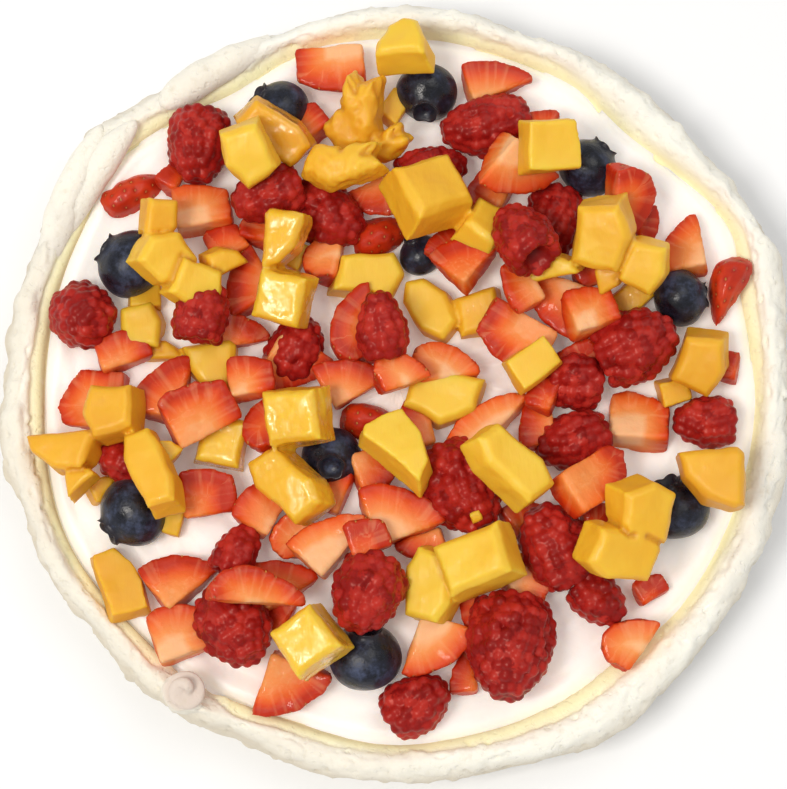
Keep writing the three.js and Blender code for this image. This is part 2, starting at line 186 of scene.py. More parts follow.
# ----------------------------------------
# The meringue shell: egg white and sugar, piped as a disc with a thick coil and a rope round its
# edge, then baked dry. Its skin is matt ivory, with soft dents, pits and fine cracks, and it is
# yellower inside, where it stays moist.

def merged_copy(node):
    """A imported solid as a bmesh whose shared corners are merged."""
    bm = bmesh.new()
    bm.from_mesh(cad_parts[node].data)
    bmesh.ops.remove_doubles(bm, verts=bm.verts, dist=0.01 * MM)
    return bm


def with_modifiers(bm, *modifiers):
    """The mesh of a bmesh after some modifiers, each a kind with its settings."""
    mesh = bpy.data.meshes.new("rough")
    bm.to_mesh(mesh)
    bm.free()
    carrier = bpy.data.objects.new("rough", mesh)
    scene.collection.objects.link(carrier)
    for kind, settings in modifiers:
        modifier = carrier.modifiers.new(kind, kind)
        for name, value in settings.items():
            setattr(modifier, name, value)
    evaluated = carrier.evaluated_get(bpy.context.evaluated_depsgraph_get())
    made = bpy.data.meshes.new_from_object(evaluated)
    bpy.data.objects.remove(carrier)
    return made


def points_of(mesh):
    """Vertex places and normals as two arrays."""
    count = len(mesh.vertices)
    places = np.empty(count * 3)
    normals = np.empty(count * 3)
    mesh.vertices.foreach_get("co", places)
    mesh.vertex_normals.foreach_get("vector", normals)
    return places.reshape(-1, 3), normals.reshape(-1, 3)


def set_points(mesh, places):
    """Moves every vertex to its place."""
    mesh.vertices.foreach_set("co", places.ravel())
    mesh.update()


def set_attribute(mesh, name, values):
    """A number at every vertex: one for each, or the same for all."""
    attribute = mesh.attributes.get(name) or mesh.attributes.new(name, "FLOAT", "POINT")
    attribute.data.foreach_set("value", np.resize(np.asarray(values, np.float32), len(mesh.vertices)))


def rough(places, size, seed=0.0):
    """Smooth noise from -1 to 1 at each place, with lumps of about that size."""
    shift = Vector((seed * 17.3, seed * 5.1, seed * 9.7))
    return np.array([noise.noise(Vector(p) / size + shift) for p in places])


def rising(values, start, width):
    """0 up to the start, then evenly up to 1 over the width."""
    return np.clip((values - start) / width, 0, 1)


def band(values, middle, width):
    """1 in the middle of a soft band, and falling to 0 on both sides."""
    return np.exp(-((values - middle) / width) ** 2)


shell_bm = merged_copy("meringue_shell")
bmesh.ops.join_triangles(
    shell_bm, faces=shell_bm.faces, angle_face_threshold=0.9, angle_shape_threshold=1.4)
shell_mesh = with_modifiers(
    shell_bm, ("SUBSURF", {"levels": 3, "render_levels": 3}), ("SMOOTH", {"factor": 0.5, "iterations": 12}))
places, normals = points_of(shell_mesh)
around = np.arctan2(places[:, 1], places[:, 0])
reach = np.hypot(places[:, 0], places[:, 1])
height = places[:, 2]
ROPE_FOOT = 80 * MM
CURL_FOOT = 30 * MM
on_rope = rising(reach, ROPE_FOOT, 8 * MM) * rising(height, 0, 4 * MM)
# The crest of the rope, its height and its distance from the axis, every few degrees round.
CREST_SLOTS = 90
slot_of = np.floor((around / (2 * math.pi) + 0.5) * CREST_SLOTS).astype(int) % CREST_SLOTS
crest_turns = (np.arange(CREST_SLOTS) + 0.5) / CREST_SLOTS * 2 * math.pi - math.pi
crests = []
for slot in range(CREST_SLOTS):
    here = np.flatnonzero((slot_of == slot) & (height < CURL_FOOT))
    top = here[height[here].argmax()]
    crests.append((height[top], reach[top]))
crests = (np.roll(crests, 1, axis=0) + crests + np.roll(crests, -1, axis=0)) / 3
crest_height, crest_reach = (np.interp(around, crest_turns, c, period=2 * math.pi) for c in crests.T)
drop = crest_height - height
inside = rising(crest_reach - reach, 0, 1.2 * MM)
# A second, lower ridge runs along the inside of the rope, with a groove between the two. Round the
# torte it swells and fades. All relief is in millimetres.
circle = np.stack([np.cos(around) * 0.1, np.sin(around) * 0.1, around * 0], axis=1)
fading = inside * np.clip(0.6 + rough(circle, 42 * MM, 8) * 1.3, 0.1, 1)
ridge = 1.7 * band(drop, 4.8 * MM, 1.6 * MM) * fading
groove = -0.9 * band(drop, 2.2 * MM, 0.8 * MM) * fading
# The rope was pushed out in short strokes, so its lumps run a little along it. Small pits and
# blisters are left in its dry skin.
along = np.stack([around * 0.1, reach * 1.4, height * 1.4], axis=1)
strokes = rough(along, 11 * MM, 1) * 0.75 + rough(along, 4.5 * MM, 2) * 0.22
creases = rising(0.1 - np.abs(rough(along, 13 * MM, 6)), 0, 1) * -3.4
grain = rough(places, 1.5 * MM, 3) * 0.12
blisters = rising(rough(places, 2.8 * MM, 5), 0.26, 1) * 1.5
pits = rising(rough(places, 2.1 * MM, 4), 0.38, 1) * -3.0
# Beads of the mixture stand out along the outer side, most of all at the right and the left.
beads = rising(rough(places, 6.5 * MM, 12), 0.02, 1) * 2.4 * (1 - inside) * np.abs(np.cos(around))
cream_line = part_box("whipped_cream")[1].z + 0.6 * MM
above_cream = 1 - inside * (1 - rising(height, cream_line, 2.5 * MM))
relief = ((strokes + creases + groove + grain + blisters + pits + beads) * above_cream + ridge) * on_rope
# A fold winds up the curl like the thread of a screw.
on_curl = rising(height, CURL_FOOT, 1.5 * MM)
curl_centre = places[height > CURL_FOOT + 2 * MM][:, :2].mean(axis=0)
curl_turn = np.arctan2(places[:, 1] - curl_centre[1], places[:, 0] - curl_centre[0])
fold = 0.95 * np.sin(curl_turn + height / (0.62 * MM)) * on_curl
set_points(shell_mesh, places + normals * ((relief * (1 - on_curl) + fold) * MM)[:, None])

# The slope inside the crest stays moist. A thin brownish line where it meets the cream, most of all
# on the left, is partly stain and partly painted shade. The outer side, and the left of the rope most,
# is painted darker as shade.
left_side = np.clip(0.05 - 1.1 * np.cos(around - 0.4), 0, 1)
painted_outer_shade = (1 - inside) * (rising(drop, 1.5 * MM, 6 * MM) + 0.45 * left_side)
set_attribute(shell_mesh, "moist", inside * rising(drop, 0, 3.5 * MM))
# The line along the cream is partly a real stain and partly painted shade in the seam.
set_attribute(shell_mesh, "stain_and_shade", band(height, cream_line, 0.9 * MM) * inside * left_side)
# Painted shade: the outer side and the left of the rope are tinted darker.
set_attribute(shell_mesh, "painted_outer_shade", np.clip(painted_outer_shade, 0, 1))
set_attribute(shell_mesh, "curl", on_curl)


def skin_over(bm, hoops):
    """Covers a row of hoops of vertices with faces, closed at both ends."""
    for lower, upper in zip(hoops, hoops[1:]):
        for k in range(len(lower)):
            bm.faces.new((lower[k - 1], lower[k], upper[k], upper[k - 1]))
    bm.faces.new(reversed(hoops[0]))
    bm.faces.new(hoops[-1])
    bmesh.ops.remove_doubles(bm, verts=bm.verts, dist=0.01 * MM)
    bmesh.ops.recalc_face_normals(bm, faces=bm.faces)


def rope_end(points, widths, seed):
    """The rounded end of one piped stroke: a soft tube of these widths through these points."""
    sides = 24
    steps = 40
    bm = bmesh.new()
    spine = [Vector(p) * MM for p in points]
    turns = [2 * math.pi * k / sides for k in range(sides)]
    hoops = []
    for step in range(steps + 1):
        share = step / steps * (len(spine) - 1)
        first = min(int(share), len(spine) - 2)
        way = (spine[first + 1] - spine[first]).normalized()
        centre = spine[first].lerp(spine[first + 1], share - first)
        width = widths[first] + (widths[first + 1] - widths[first]) * (share - first)
        to_end = (steps - step) / steps * len(spine) * 0.9
        width *= math.sqrt(max(1 - (1 - min(to_end, 1)) ** 2, 0.0)) * MM
        side = way.cross(Vector((0, 0, 1))).normalized()
        up = side.cross(way)
        hoops.append([bm.verts.new(centre + (side * math.cos(t) * 0.5 + up * math.sin(t) * 0.42) * width)
                      for t in turns])
    skin_over(bm, hoops)
    mesh = with_modifiers(bm, ("SUBSURF", {"levels": 1, "render_levels": 1}))
    places, normals = points_of(mesh)
    lumps = rough(places, 5 * MM, seed) * 0.35 + rough(places, 1.6 * MM, seed + 1) * 0.08
    set_points(mesh, places + normals * (lumps * MM)[:, None])
    # The rope ends take a little of the painted outer shade and none of the other tints.
    for name, value in (("moist", 0), ("stain_and_shade", 0), ("curl", 0), ("painted_outer_shade", 0.2)):
        set_attribute(mesh, name, value)
    return mesh


def joined(meshes):
    """Several meshes, with their attributes, as one."""
    carriers = [bpy.data.objects.new("part", mesh) for mesh in meshes]
    for carrier in carriers:
        scene.collection.objects.link(carrier)
    with bpy.context.temp_override(
            active_object=carriers[0], selected_editable_objects=carriers, selected_objects=carriers):
        bpy.ops.object.join()
    mesh = carriers[0].data
    bpy.data.objects.remove(carriers[0])
    return mesh


# Three strokes end at the back left, where the rope was begun again: places and widths in mm.
ROPE_ENDS = [
    ([(-89, 33, 23.5), (-86, 43, 25), (-81.5, 53.5, 26.5), (-75.6, 66.4, 27)], [6, 8.5, 8, 5]),
    ([(-86.5, 38, 22.5), (-81.5, 47, 25), (-75, 57.5, 26.5), (-66.6, 67.6, 27.5)], [5, 8, 8.5, 6]),
    ([(-32, 89, 24), (-42, 84, 25.5), (-51.5, 78, 26.5), (-61, 71.4, 26.5)], [5, 8, 9, 8]),
]
shell_mesh = joined([shell_mesh] + [rope_end(points, widths, 20 + i * 3)
                                    for i, (points, widths) in enumerate(ROPE_ENDS)])

# Baked meringue: a dry, matt and brittle skin of fine crumb and pores. It is ivory, and pale yellow on
# the moist slope. It is painted darker as shade on the outer side, in a grey pink on the curl, and in a
# brownish line along the cream that is partly stain. Specks of it are toasted.
meringue, tree, spot = new_material("dry_baked_meringue")
patches = add(tree, "TexNoise", {"Vector": spot, "Scale": 1 / (16.7 * MM), "Detail": 3.0})
tint = add(tree, "ValToRGB", {"Fac": patches}, stops=[(0.35, "#F5F1E6"), (0.6, "#FCFAEF")])
# The outer side, the line along the cream and the curl are tinted darker as painted shade.
for name, strength, code in (("painted_outer_shade", 1.0, "#DDD3C0"), ("moist", 1.0, "#FAF6C6"),
                             ("stain_and_shade", 0.75, "#9C7848"), ("curl", 1.0, "#DCCDC2")):
    here = add(tree, "Attribute", attribute_name=name)
    share = add(tree, "Math", (here, strength), operation="MULTIPLY")
    tint = add(tree, "Mix", {0: share, 6: tint, 7: code}, data_type="RGBA")
specks = add(tree, "TexNoise", {"Vector": spot, "Scale": 1 / (2.38 * MM), "Detail": 6.0})
toast = add(tree, "MapRange", {"Value": specks, "From Min": 0.58, "From Max": 0.8, "To Max": 0.4})
tint = add(tree, "Mix", {0: toast, 6: tint, 7: "#D2C6AE"}, data_type="RGBA")
crumb = add(tree, "TexNoise", {"Vector": spot, "Scale": 1 / (1.11 * MM), "Detail": 8.0})
pores = add(tree, "TexNoise", {"Vector": spot, "Scale": 1 / (1.79 * MM), "Detail": 1.0})
pore_depth = add(tree, "MapRange", {"Value": pores, "From Min": 0.64, "From Max": 0.72, "To Max": -0.8})
skin_relief = add(tree, "Math", (crumb, pore_depth), operation="ADD")
crumb_bump = add(tree, "Bump", {"Height": skin_relief, "Strength": 0.42, "Distance": 0.6 * MM})
# The faint emission is painted light: a glow that lifts the shaded parts of the shell.
dress(tree, {
    "Base Color": tint, "Roughness": 0.75, "Specular IOR Level": 0.3, "Normal": crumb_bump,
    "Subsurface Weight": 0.18, "Subsurface Radius": (0.9, 0.9, 0.75), "Subsurface Scale": 2 * MM,
    "Emission Color": "#FFF8DE", "Emission Strength": 0.03})

set_piece("piped_meringue_shell", shell_mesh, meringue, "meringue_shell")


# ----------------------------------------
# The whipped cream: spread into the shell with a knife, so it has long soft strokes, a raised lip
# along the rope, and it rises a little round the fruit that was pressed into it.

def surface_of(mesh):
    """The faces of a mesh, for rays and nearest points."""
    return BVHTree.FromPolygons([v.co for v in mesh.vertices], [p.vertices for p in mesh.polygons])


FAR_OFF = 200 * MM


def top_at(surface, x, y):
    """The height of a surface at a point, seen from above, or None past its edge."""
    hit = surface.ray_cast(Vector((x, y, FAR_OFF)), Vector((0, 0, -1)))
    return None if hit[0] is None else hit[0].z


CREAM_RAISE = 1.7 * MM
CREAM_SWELL = 2.6 * MM
CREAM_COLUMNS = 400
CREAM_RINGS = 84
CREAM_MIDDLE = 60 * MM
wall = surface_of(shell_mesh)
packed_cream_top = BVHTree.FromBMesh(merged_copy("whipped_cream"))
cream_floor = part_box("whipped_cream")[0].z
cream_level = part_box("whipped_cream")[1].z - 1.0 * MM


def cream_height(x, y, edge_reach):
    """The height of the cream at a point, where the rope is edge_reach away from the axis."""
    base = top_at(packed_cream_top, x * 0.985, y * 0.985) or cream_level
    turn = math.atan2(y, x)
    reach = math.hypot(x, y)
    stroke = Vector((turn * 2.6, reach / (9 * MM), 0.0))
    swirl = noise.noise(stroke) * 1.1 + (0.5 - abs(noise.noise(stroke * 1.9 + Vector((4, 2, 1))))) * 1.3
    slack = noise.noise(Vector((x, y, 0)) / (14 * MM)) * 0.6
    pressed_up = CREAM_SWELL * rising(88 * MM - reach, 0, 16 * MM)
    to_rope = edge_reach - reach
    lip = 0.9 * band(to_rope, 4.2 * MM, 1.3 * MM) * (0.6 - 0.4 * math.cos(turn))
    calm = rising(to_rope, 2 * MM, 3 * MM) * rising(reach, 0, 20 * MM)
    return base + CREAM_RAISE + pressed_up + ((swirl + slack) * calm + lip) * MM


cream_bm = bmesh.new()
headings = [Vector((math.cos(turn), math.sin(turn), 0))
            for turn in np.arange(CREAM_COLUMNS) * 2 * math.pi / CREAM_COLUMNS]
brim = Vector((0, 0, cream_level + CREAM_RAISE))
walls = [CREAM_MIDDLE + wall.ray_cast(heading * CREAM_MIDDLE + brim, heading)[3] for heading in headings]
edge_reaches = np.mean([np.roll(walls, shift) for shift in range(-4, 5)], axis=0) + 1.5 * MM
rings = []
for heading, edge_reach in zip(headings, edge_reaches):
    line = []
    for ring in range(1, CREAM_RINGS + 1):
        x, y, _ = heading * edge_reach * (ring / CREAM_RINGS)
        line.append(cream_bm.verts.new((x, y, cream_height(x, y, edge_reach))))
    foot = heading * (edge_reach - 5 * MM)
    line.append(cream_bm.verts.new((foot.x, foot.y, cream_floor)))
    rings.append(line)
peak = cream_bm.verts.new((0, 0, cream_height(0, 0, 90 * MM)))
under = cream_bm.verts.new((0, 0, cream_floor))
for column in range(CREAM_COLUMNS):
    here, there = rings[column], rings[(column + 1) % CREAM_COLUMNS]
    cream_bm.faces.new((peak, here[0], there[0]))
    for ring in range(CREAM_RINGS):
        cream_bm.faces.new((here[ring], here[ring + 1], there[ring + 1], there[ring]))
    cream_bm.faces.new((here[-1], under, there[-1]))
cream_mesh = bpy.data.meshes.new("whipped_cream_fill")
cream_bm.to_mesh(cream_mesh)
cream_bm.free()


def fine_relief(tree, spot, width, detail, strength, depth):
    """A bump of lumps as wide and as deep as this, for froth, pores, fibres or drops."""
    fine = add(tree, "TexNoise", {"Vector": spot, "Scale": 1 / width, "Detail": detail})
    return add(tree, "Bump", {"Height": fine, "Strength": strength, "Distance": depth})


# Cream whipped with sugar: a soft, barely glossy white with a froth too fine to see singly.
cream, tree, spot = new_material("whipped_cream")
blush = add(tree, "TexNoise", {"Vector": spot, "Scale": 1 / (22.2 * MM), "Detail": 4.0})
tint = add(tree, "ValToRGB", {"Fac": blush}, stops=[(0.3, "#FCF1EA"), (0.5, "#FEFAF3"), (0.75, "#FFFCF2")])
# Light goes round inside the thick cream, and a painted glow brightens it where it lies in shade,
# even in the gaps of the heap.
dress(tree, {
    "Base Color": tint, "Roughness": 0.45, "Normal": fine_relief(tree, spot, 1.43 * MM, 6, 0.18, 0.4 * MM),
    "Subsurface Weight": 0.6, "Subsurface Radius": (1.0, 0.88, 0.75), "Subsurface Scale": 5 * MM,
    "Emission Color": "#FFF1E6", "Emission Strength": 0.13})

set_piece("whipped_cream_fill", cream_mesh, cream, "whipped_cream")


# ----------------------------------------
# The heap: where the further pieces of fruit come to rest. Each map holds a height over every square
# millimetre of the torte: one for the bed of cream, where pieces nestle in between and under the
# packed fruit, and one for the top of the whole heap.

CELL = 1.0 * MM
HALF_CELLS = 112
SLIDE_CELLS = 3
SLIDE_COST = 1.2
LEAN_TRIES = 5


def cell_of(value):
    """The row or column of a map that a distance from the axis falls in."""
    return int(round(value / CELL)) + HALF_CELLS


def map_of(surface):
    """The top of a surface over every cell, and far below where there is none."""
    heights = np.full((2 * HALF_CELLS + 1, 2 * HALF_CELLS + 1), -1.0)
    for row in range(-HALF_CELLS, HALF_CELLS + 1):
        for column in range(-HALF_CELLS, HALF_CELLS + 1):
            z = top_at(surface, column * CELL, row * CELL)
            if z is not None:
                heights[row + HALF_CELLS, column + HALF_CELLS] = z
    return heights


fruit_nodes = sorted(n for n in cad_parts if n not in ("meringue_shell", "whipped_cream"))
packed_fruit = bmesh.new()
for node in fruit_nodes:
    packed_fruit.from_mesh(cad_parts[node].data)
bed_map = np.maximum(map_of(surface_of(cream_mesh)), map_of(wall))
top_map = np.maximum(bed_map, map_of(BVHTree.FromBMesh(packed_fruit)))
packed_fruit.free()
chance = random.Random(11)


def underside(bm):
    """The rows, columns and lowest heights of a piece over the cells below it."""
    surface = BVHTree.FromBMesh(bm)
    xs, ys, _ = zip(*(v.co for v in bm.verts))
    found = []
    for row in range(cell_of(min(ys)), cell_of(max(ys)) + 1):
        for column in range(cell_of(min(xs)), cell_of(max(xs)) + 1):
            start = Vector(((column - HALF_CELLS) * CELL, (row - HALF_CELLS) * CELL, -FAR_OFF))
            hit = surface.ray_cast(start, Vector((0, 0, 1)))
            if hit[0] is not None:
                found.append((row, column, hit[0].z))
    return [np.array(part) for part in zip(*found)]


def resting_place(bm, ground):
    """Where a piece comes to lie lowest on a map within a short slide: score, rise, across, along."""
    rows, columns, heights = underside(bm)
    best = None
    for along in range(-SLIDE_CELLS, SLIDE_CELLS + 1):
        for across in range(-SLIDE_CELLS, SLIDE_CELLS + 1):
            rise = (ground[rows + along, columns + across] - heights).max()
            score = rise + SLIDE_COST * CELL * math.hypot(along, across)
            if best is None or score < best[0]:
                best = (score, rise, across * CELL, along * CELL)
    return best


def let_down(bm, x, y, turn, layer, sink, lean=0.25):
    """Turns a piece and lowers it at a point, with the lean and slide that bring it lowest. It sinks
    a little into the soft pieces under it, and is added to the maps."""
    bm.transform(Matrix.Translation((x, y, 0)) @ Matrix.Rotation(math.radians(turn), 4, "Z"))
    ground = bed_map if layer == "bed" else top_map
    best = None
    for _ in range(LEAN_TRIES):
        tilt = Euler((chance.uniform(-lean, lean), chance.uniform(-lean, lean), 0)).to_matrix().to_4x4()
        pose = Matrix.Translation((x, y, 0)) @ tilt @ Matrix.Translation((-x, -y, 0))
        trial = bm.copy()
        trial.transform(pose)
        place = resting_place(trial, ground)
        trial.free()
        if best is None or place[0] < best[0]:
            best = place + (pose,)
    _, rise, across, along, pose = best
    bm.transform(Matrix.Translation((across, along, rise - sink)) @ pose)
    surface = BVHTree.FromBMesh(bm)
    rows, columns, _ = underside(bm)
    for row, column in zip(rows, columns):
        z = top_at(surface, (column - HALF_CELLS) * CELL, (row - HALF_CELLS) * CELL)
        if z is not None:
            top_map[row, column] = max(top_map[row, column], z)
            if layer == "bed":
                bed_map[row, column] = max(bed_map[row, column], z)


# ----------------------------------------
# Cut strawberries: wedges, slices and dice cut with a knife. The cut flesh is moist, pale in the
# middle and orange red under the skin, and the skin is red with yellow seeds in small pits.

def soft_cut(bm, grain, rounds):
    """An even fine mesh of a cut piece, with its knife edges a little rounded."""
    return with_modifiers(
        bm,
        ("REMESH", {"mode": "VOXEL", "voxel_size": grain}),
        ("SMOOTH", {"factor": 0.5, "iterations": rounds}))


# A knife cut is flat, and covers more than this share of a piece.
CUT_SHARE = 0.085


def skin_faces(bm):
    """The small faces that lie on no knife cut."""
    bm.normal_update()
    whole = sum(f.calc_area() for f in bm.faces)
    found = []
    for face in bm.faces:
        centre = face.calc_center_median()
        level_area = sum(
            f.calc_area() for f in bm.faces if f.normal.dot(face.normal) > 0.9995
            and abs((f.calc_center_median() - centre).dot(face.normal)) < 0.05 * MM)
        if level_area < CUT_SHARE * whole:
            found.append(face)
    return found


# The depth of the flesh of a piece that has no skin left.
DEEP_FLESH = 9 * MM


def strawberry_mesh(bm, ripeness, seed):
    """The fine mesh of one cut piece, with its skin, the depth of its flesh, the nearest spot on the
    skin and its ripeness as attributes."""
    skin = skin_faces(bm)
    corners = [v.co.copy() for v in bm.verts]
    skin_surface = BVHTree.FromPolygons(corners, [[v.index for v in f.verts] for f in skin])
    whole_surface = BVHTree.FromBMesh(bm)
    skin_numbers = {f.index for f in skin}
    mesh = soft_cut(bm, 0.62 * MM, 1)
    places, normals = points_of(mesh)
    on_skin = np.zeros(len(places))
    depth = np.full(len(places), DEEP_FLESH)
    nearest = np.zeros((len(places), 3))
    for i, place in enumerate(places):
        on_skin[i] = whole_surface.find_nearest(Vector(place))[2] in skin_numbers
        spot, _, _, away = skin_surface.find_nearest(Vector(place))
        if spot is not None:
            depth[i] = away
            nearest[i] = spot
    dents = rough(places, 5 * MM, seed) * 0.40 + rough(places, 1.6 * MM, seed + 1) * 0.12
    set_points(mesh, places + normals * ((dents + 0.25) * MM)[:, None])
    set_attribute(mesh, "skin", on_skin)
    set_attribute(mesh, "flesh_depth", depth / MM)
    set_attribute(mesh, "ripeness", ripeness)
    vein_root = mesh.attributes.new("vein_root", "FLOAT_VECTOR", "POINT")
    vein_root.data.foreach_set("vector", nearest.ravel().astype(np.float32))
    return mesh


def nearest_to(places, points):
    """For each place, the number of the nearest point and the distance to it."""
    finder = KDTree(len(points))
    for number, point in enumerate(points):
        finder.insert(point, number)
    finder.balance()
    _, numbers, distances = zip(*(finder.find(place) for place in places))
    return np.array(numbers), np.array(distances)


SEED_SPACING = 2.5 * MM
SEED_LENGTH = 0.95 * MM
SEED_SINK = 0.3 * MM


def press_seeds(mesh, seed):
    """Sinks a small pit into the skin for each seed, no closer together than their spacing. Gives the
    seeds, each as a place with the way out of the skin."""
    places, normals = points_of(mesh)
    skin = np.array([d.value for d in mesh.attributes["skin"].data])
    order = [i for i in range(len(places)) if skin[i] > 0.5]
    random.Random(seed).shuffle(order)
    kept = []
    for i in order:
        place = Vector(places[i])
        if all((place - other).length > SEED_SPACING for other, _ in kept):
            kept.append((place, Vector(normals[i])))
    if kept:
        pit = band(nearest_to(places, [place for place, _ in kept])[1], 0, 0.6 * MM)
        set_points(mesh, places - normals * (pit * 0.28 * MM)[:, None])
        set_attribute(mesh, "pit", pit)
    return [(place - normal * SEED_SINK, normal) for place, normal in kept]


# Cut strawberry: wet flesh that lets the light in, so its reds glow, under a thin film of juice.
strawberry, tree, spot = new_material("cut_strawberry")
depth = add(tree, "Attribute", attribute_name="flesh_depth")
ripe = add(tree, "Attribute", attribute_name="ripeness")
skin = add(tree, "Attribute", attribute_name="skin")
pit = add(tree, "Attribute", attribute_name="pit")
vein_root = add(tree, "Attribute", attribute_name="vein_root")
blotch = add(tree, "TexNoise", {"Vector": spot, "Scale": 1 / (9.1 * MM), "Detail": 4.0})
uneven = add(tree, "Math", (blotch, 4.0, -2.0), operation="MULTIPLY_ADD")
deeper = add(tree, "Math", (depth, uneven), operation="ADD")
inward = add(tree, "MapRange", {"Value": deeper, "From Min": 0.3, "From Max": 8.2})
less_ripe = add(tree, "Math", (ripe, -0.75, 0.42), operation="MULTIPLY_ADD")
shade = add(tree, "Math", (inward, less_ripe), operation="ADD", use_clamp=True)
flesh_tint = add(tree, "ValToRGB", {"Fac": shade}, stops=[
    (0.0, "#BE2C08"), (0.2, "#DA4810"), (0.45, "#E96C24"), (0.8, "#F0944C"), (1.0, "#F5BA86")])
# Pale veins run from the seeds inward, at right angles to the skin.
veins = add(tree, "TexNoise",
            {"Vector": vein_root.outputs["Vector"], "Scale": 1 / (1.61 * MM), "Detail": 1.0})
veined = add(tree, "MapRange", {"Value": veins, "From Min": 0.5, "From Max": 0.72, "To Max": 0.2})
flesh = add(tree, "Mix", {0: veined, 6: flesh_tint, 7: "#F4BE88"}, data_type="RGBA")
skin_tint = add(tree, "ValToRGB", {"Fac": blotch},
                stops=[(0.3, "#AE200A"), (0.52, "#C8330F"), (0.75, "#DA4C18")])
pitted = add(tree, "Mix", {0: pit, 6: skin_tint, 7: "#98190A"}, data_type="RGBA")
tint = add(tree, "Mix", {0: skin, 6: flesh, 7: pitted}, data_type="RGBA")
dress(tree, {
    "Base Color": tint, "Roughness": 0.5, "Specular IOR Level": 0.25,
    "Normal": fine_relief(tree, spot, 1.61 * MM, 4, 0.4, 0.5 * MM),
    "Subsurface Weight": 0.4, "Subsurface Radius": (1.0, 0.35, 0.15), "Subsurface Scale": 3 * MM,
    "Coat Weight": 0.2, "Coat Roughness": 0.05})

# Seeds: hard dry achenes, straw yellow where ripe.
achene, tree, spot = new_material("strawberry_seed")
seed_noise = add(tree, "TexNoise", {"Vector": spot, "Scale": 1 / (3.33 * MM)})
seed_tint = add(tree, "ValToRGB", {"Fac": seed_noise}, stops=[(0.35, "#A65524"), (0.65, "#C98A3A")])
dress(tree, {"Base Color": seed_tint, "Roughness": 0.4})


def new_growth(name, **kinds):
    """A Geometry Nodes tree that grows something on a mesh. It takes the mesh, a material and these
    kinds of numbers by name. Gives the tree and its entry."""
    tree = bpy.data.node_groups.new(name, "GeometryNodeTree")
    for title, kind in {"Geometry": "Geometry", "Material": "Material", **kinds}.items():
        tree.interface.new_socket(title, in_out="INPUT", socket_type="NodeSocket" + kind)
    tree.interface.new_socket("Geometry", in_out="OUTPUT", socket_type="NodeSocketGeometry")
    return tree, add(tree, "NodeGroupInput")


def end_growth(tree, entry, geometry):
    """Ends a tree: what has grown is made real and takes the material."""
    real = add(tree, "GeometryNodeRealizeInstances", {0: geometry})
    painted = add(tree, "GeometryNodeSetMaterial", {0: real, "Material": entry.outputs["Material"]})
    add(tree, "NodeGroupOutput", {0: painted})


def grown(mesh, tree, **values):
    """The mesh that a Geometry Nodes tree makes from another, with its named inputs set."""
    carrier = bpy.data.objects.new("grown", mesh)
    scene.collection.objects.link(carrier)
    modifier = carrier.modifiers.new("grown", "NODES")
    modifier.node_group = tree
    for item in tree.interface.items_tree:
        if item.item_type == "SOCKET" and item.in_out == "INPUT" and item.name in values:
            modifier[item.identifier] = values[item.name]
    evaluated = carrier.evaluated_get(bpy.context.evaluated_depsgraph_get())
    made = bpy.data.meshes.new_from_object(evaluated)
    bpy.data.objects.remove(carrier)
    return made


# One seed, a flat teardrop, stands on each point, which carries the way out of the skin.
seed_tree, entry = new_growth("seeds_on_skin", Length="Float")
tree = seed_tree
ball = add(tree, "GeometryNodeMeshIcoSphere", {"Radius": 0.5, "Subdivisions": 1})
drop = add(tree, "GeometryNodeTransform", {"Geometry": ball, "Scale": (0.62, 1.0, 0.42)})
outward = add(tree, "GeometryNodeInputNamedAttribute", {"Name": "outward"}, data_type="FLOAT_VECTOR")
facing = add(tree, "FunctionNodeAlignRotationToVector", {"Vector": outward}, axis="Z")
uneven = add(tree, "FunctionNodeRandomValue", {2: 0.8, 3: 1.15, "Seed": 5}, data_type="FLOAT")
sized = add(tree, "Math", (uneven, entry.outputs["Length"]), operation="MULTIPLY")
cloud = add(tree, "GeometryNodeMeshToPoints", {"Mesh": entry.outputs["Geometry"]})
planted = add(tree, "GeometryNodeInstanceOnPoints",
              {"Points": cloud, "Instance": drop, "Rotation": facing, "Scale": sized})
end_growth(tree, entry, planted)


def seed_mesh(seeds):
    """All the seeds as one mesh, each grown at its place and along its way."""
    points = bpy.data.meshes.new("seed_points")
    points.from_pydata([place for place, _ in seeds], [], [])
    way = points.attributes.new("outward", "FLOAT_VECTOR", "POINT")
    way.data.foreach_set("vector", [c for _, normal in seeds for c in normal])
    return grown(points, seed_tree, Length=SEED_LENGTH, Material=achene)


STRAWBERRY_RIPENESS = [0.9, 0.55, 0.4, 0.9, 0.95, 0.6, 0.35, 0.85, 0.6, 0.8]
POINTED_STRAWBERRY = "strawberry_05"
all_seeds = []
for number, node in enumerate(n for n in fruit_nodes if n.startswith("strawberry")):
    fine_mesh = strawberry_mesh(merged_copy(node), STRAWBERRY_RIPENESS[number], number)
    if node == POINTED_STRAWBERRY:
        places, normals = points_of(fine_mesh)
        low, high = places.min(0), places.max(0)
        taper = 0.35 + 0.85 * (places[:, 1] - low[1]) / (high[1] - low[1])
        places[:, 0] = low[0] + (places[:, 0] - low[0]) * taper
        set_points(fine_mesh, places)
    all_seeds += press_seeds(fine_mesh, number)
    set_piece("cut_" + node, fine_mesh, strawberry, node)


def turned_solid(profile, steps):
    """A closed bmesh turned round Z, from pairs of a reach and a height."""
    bm = bmesh.new()
    turns = [2 * math.pi * k / steps for k in range(steps)]
    skin_over(bm, [[bm.verts.new((reach * math.cos(turn), reach * math.sin(turn), height)) for turn in turns]
                   for reach, height in profile])
    return bm


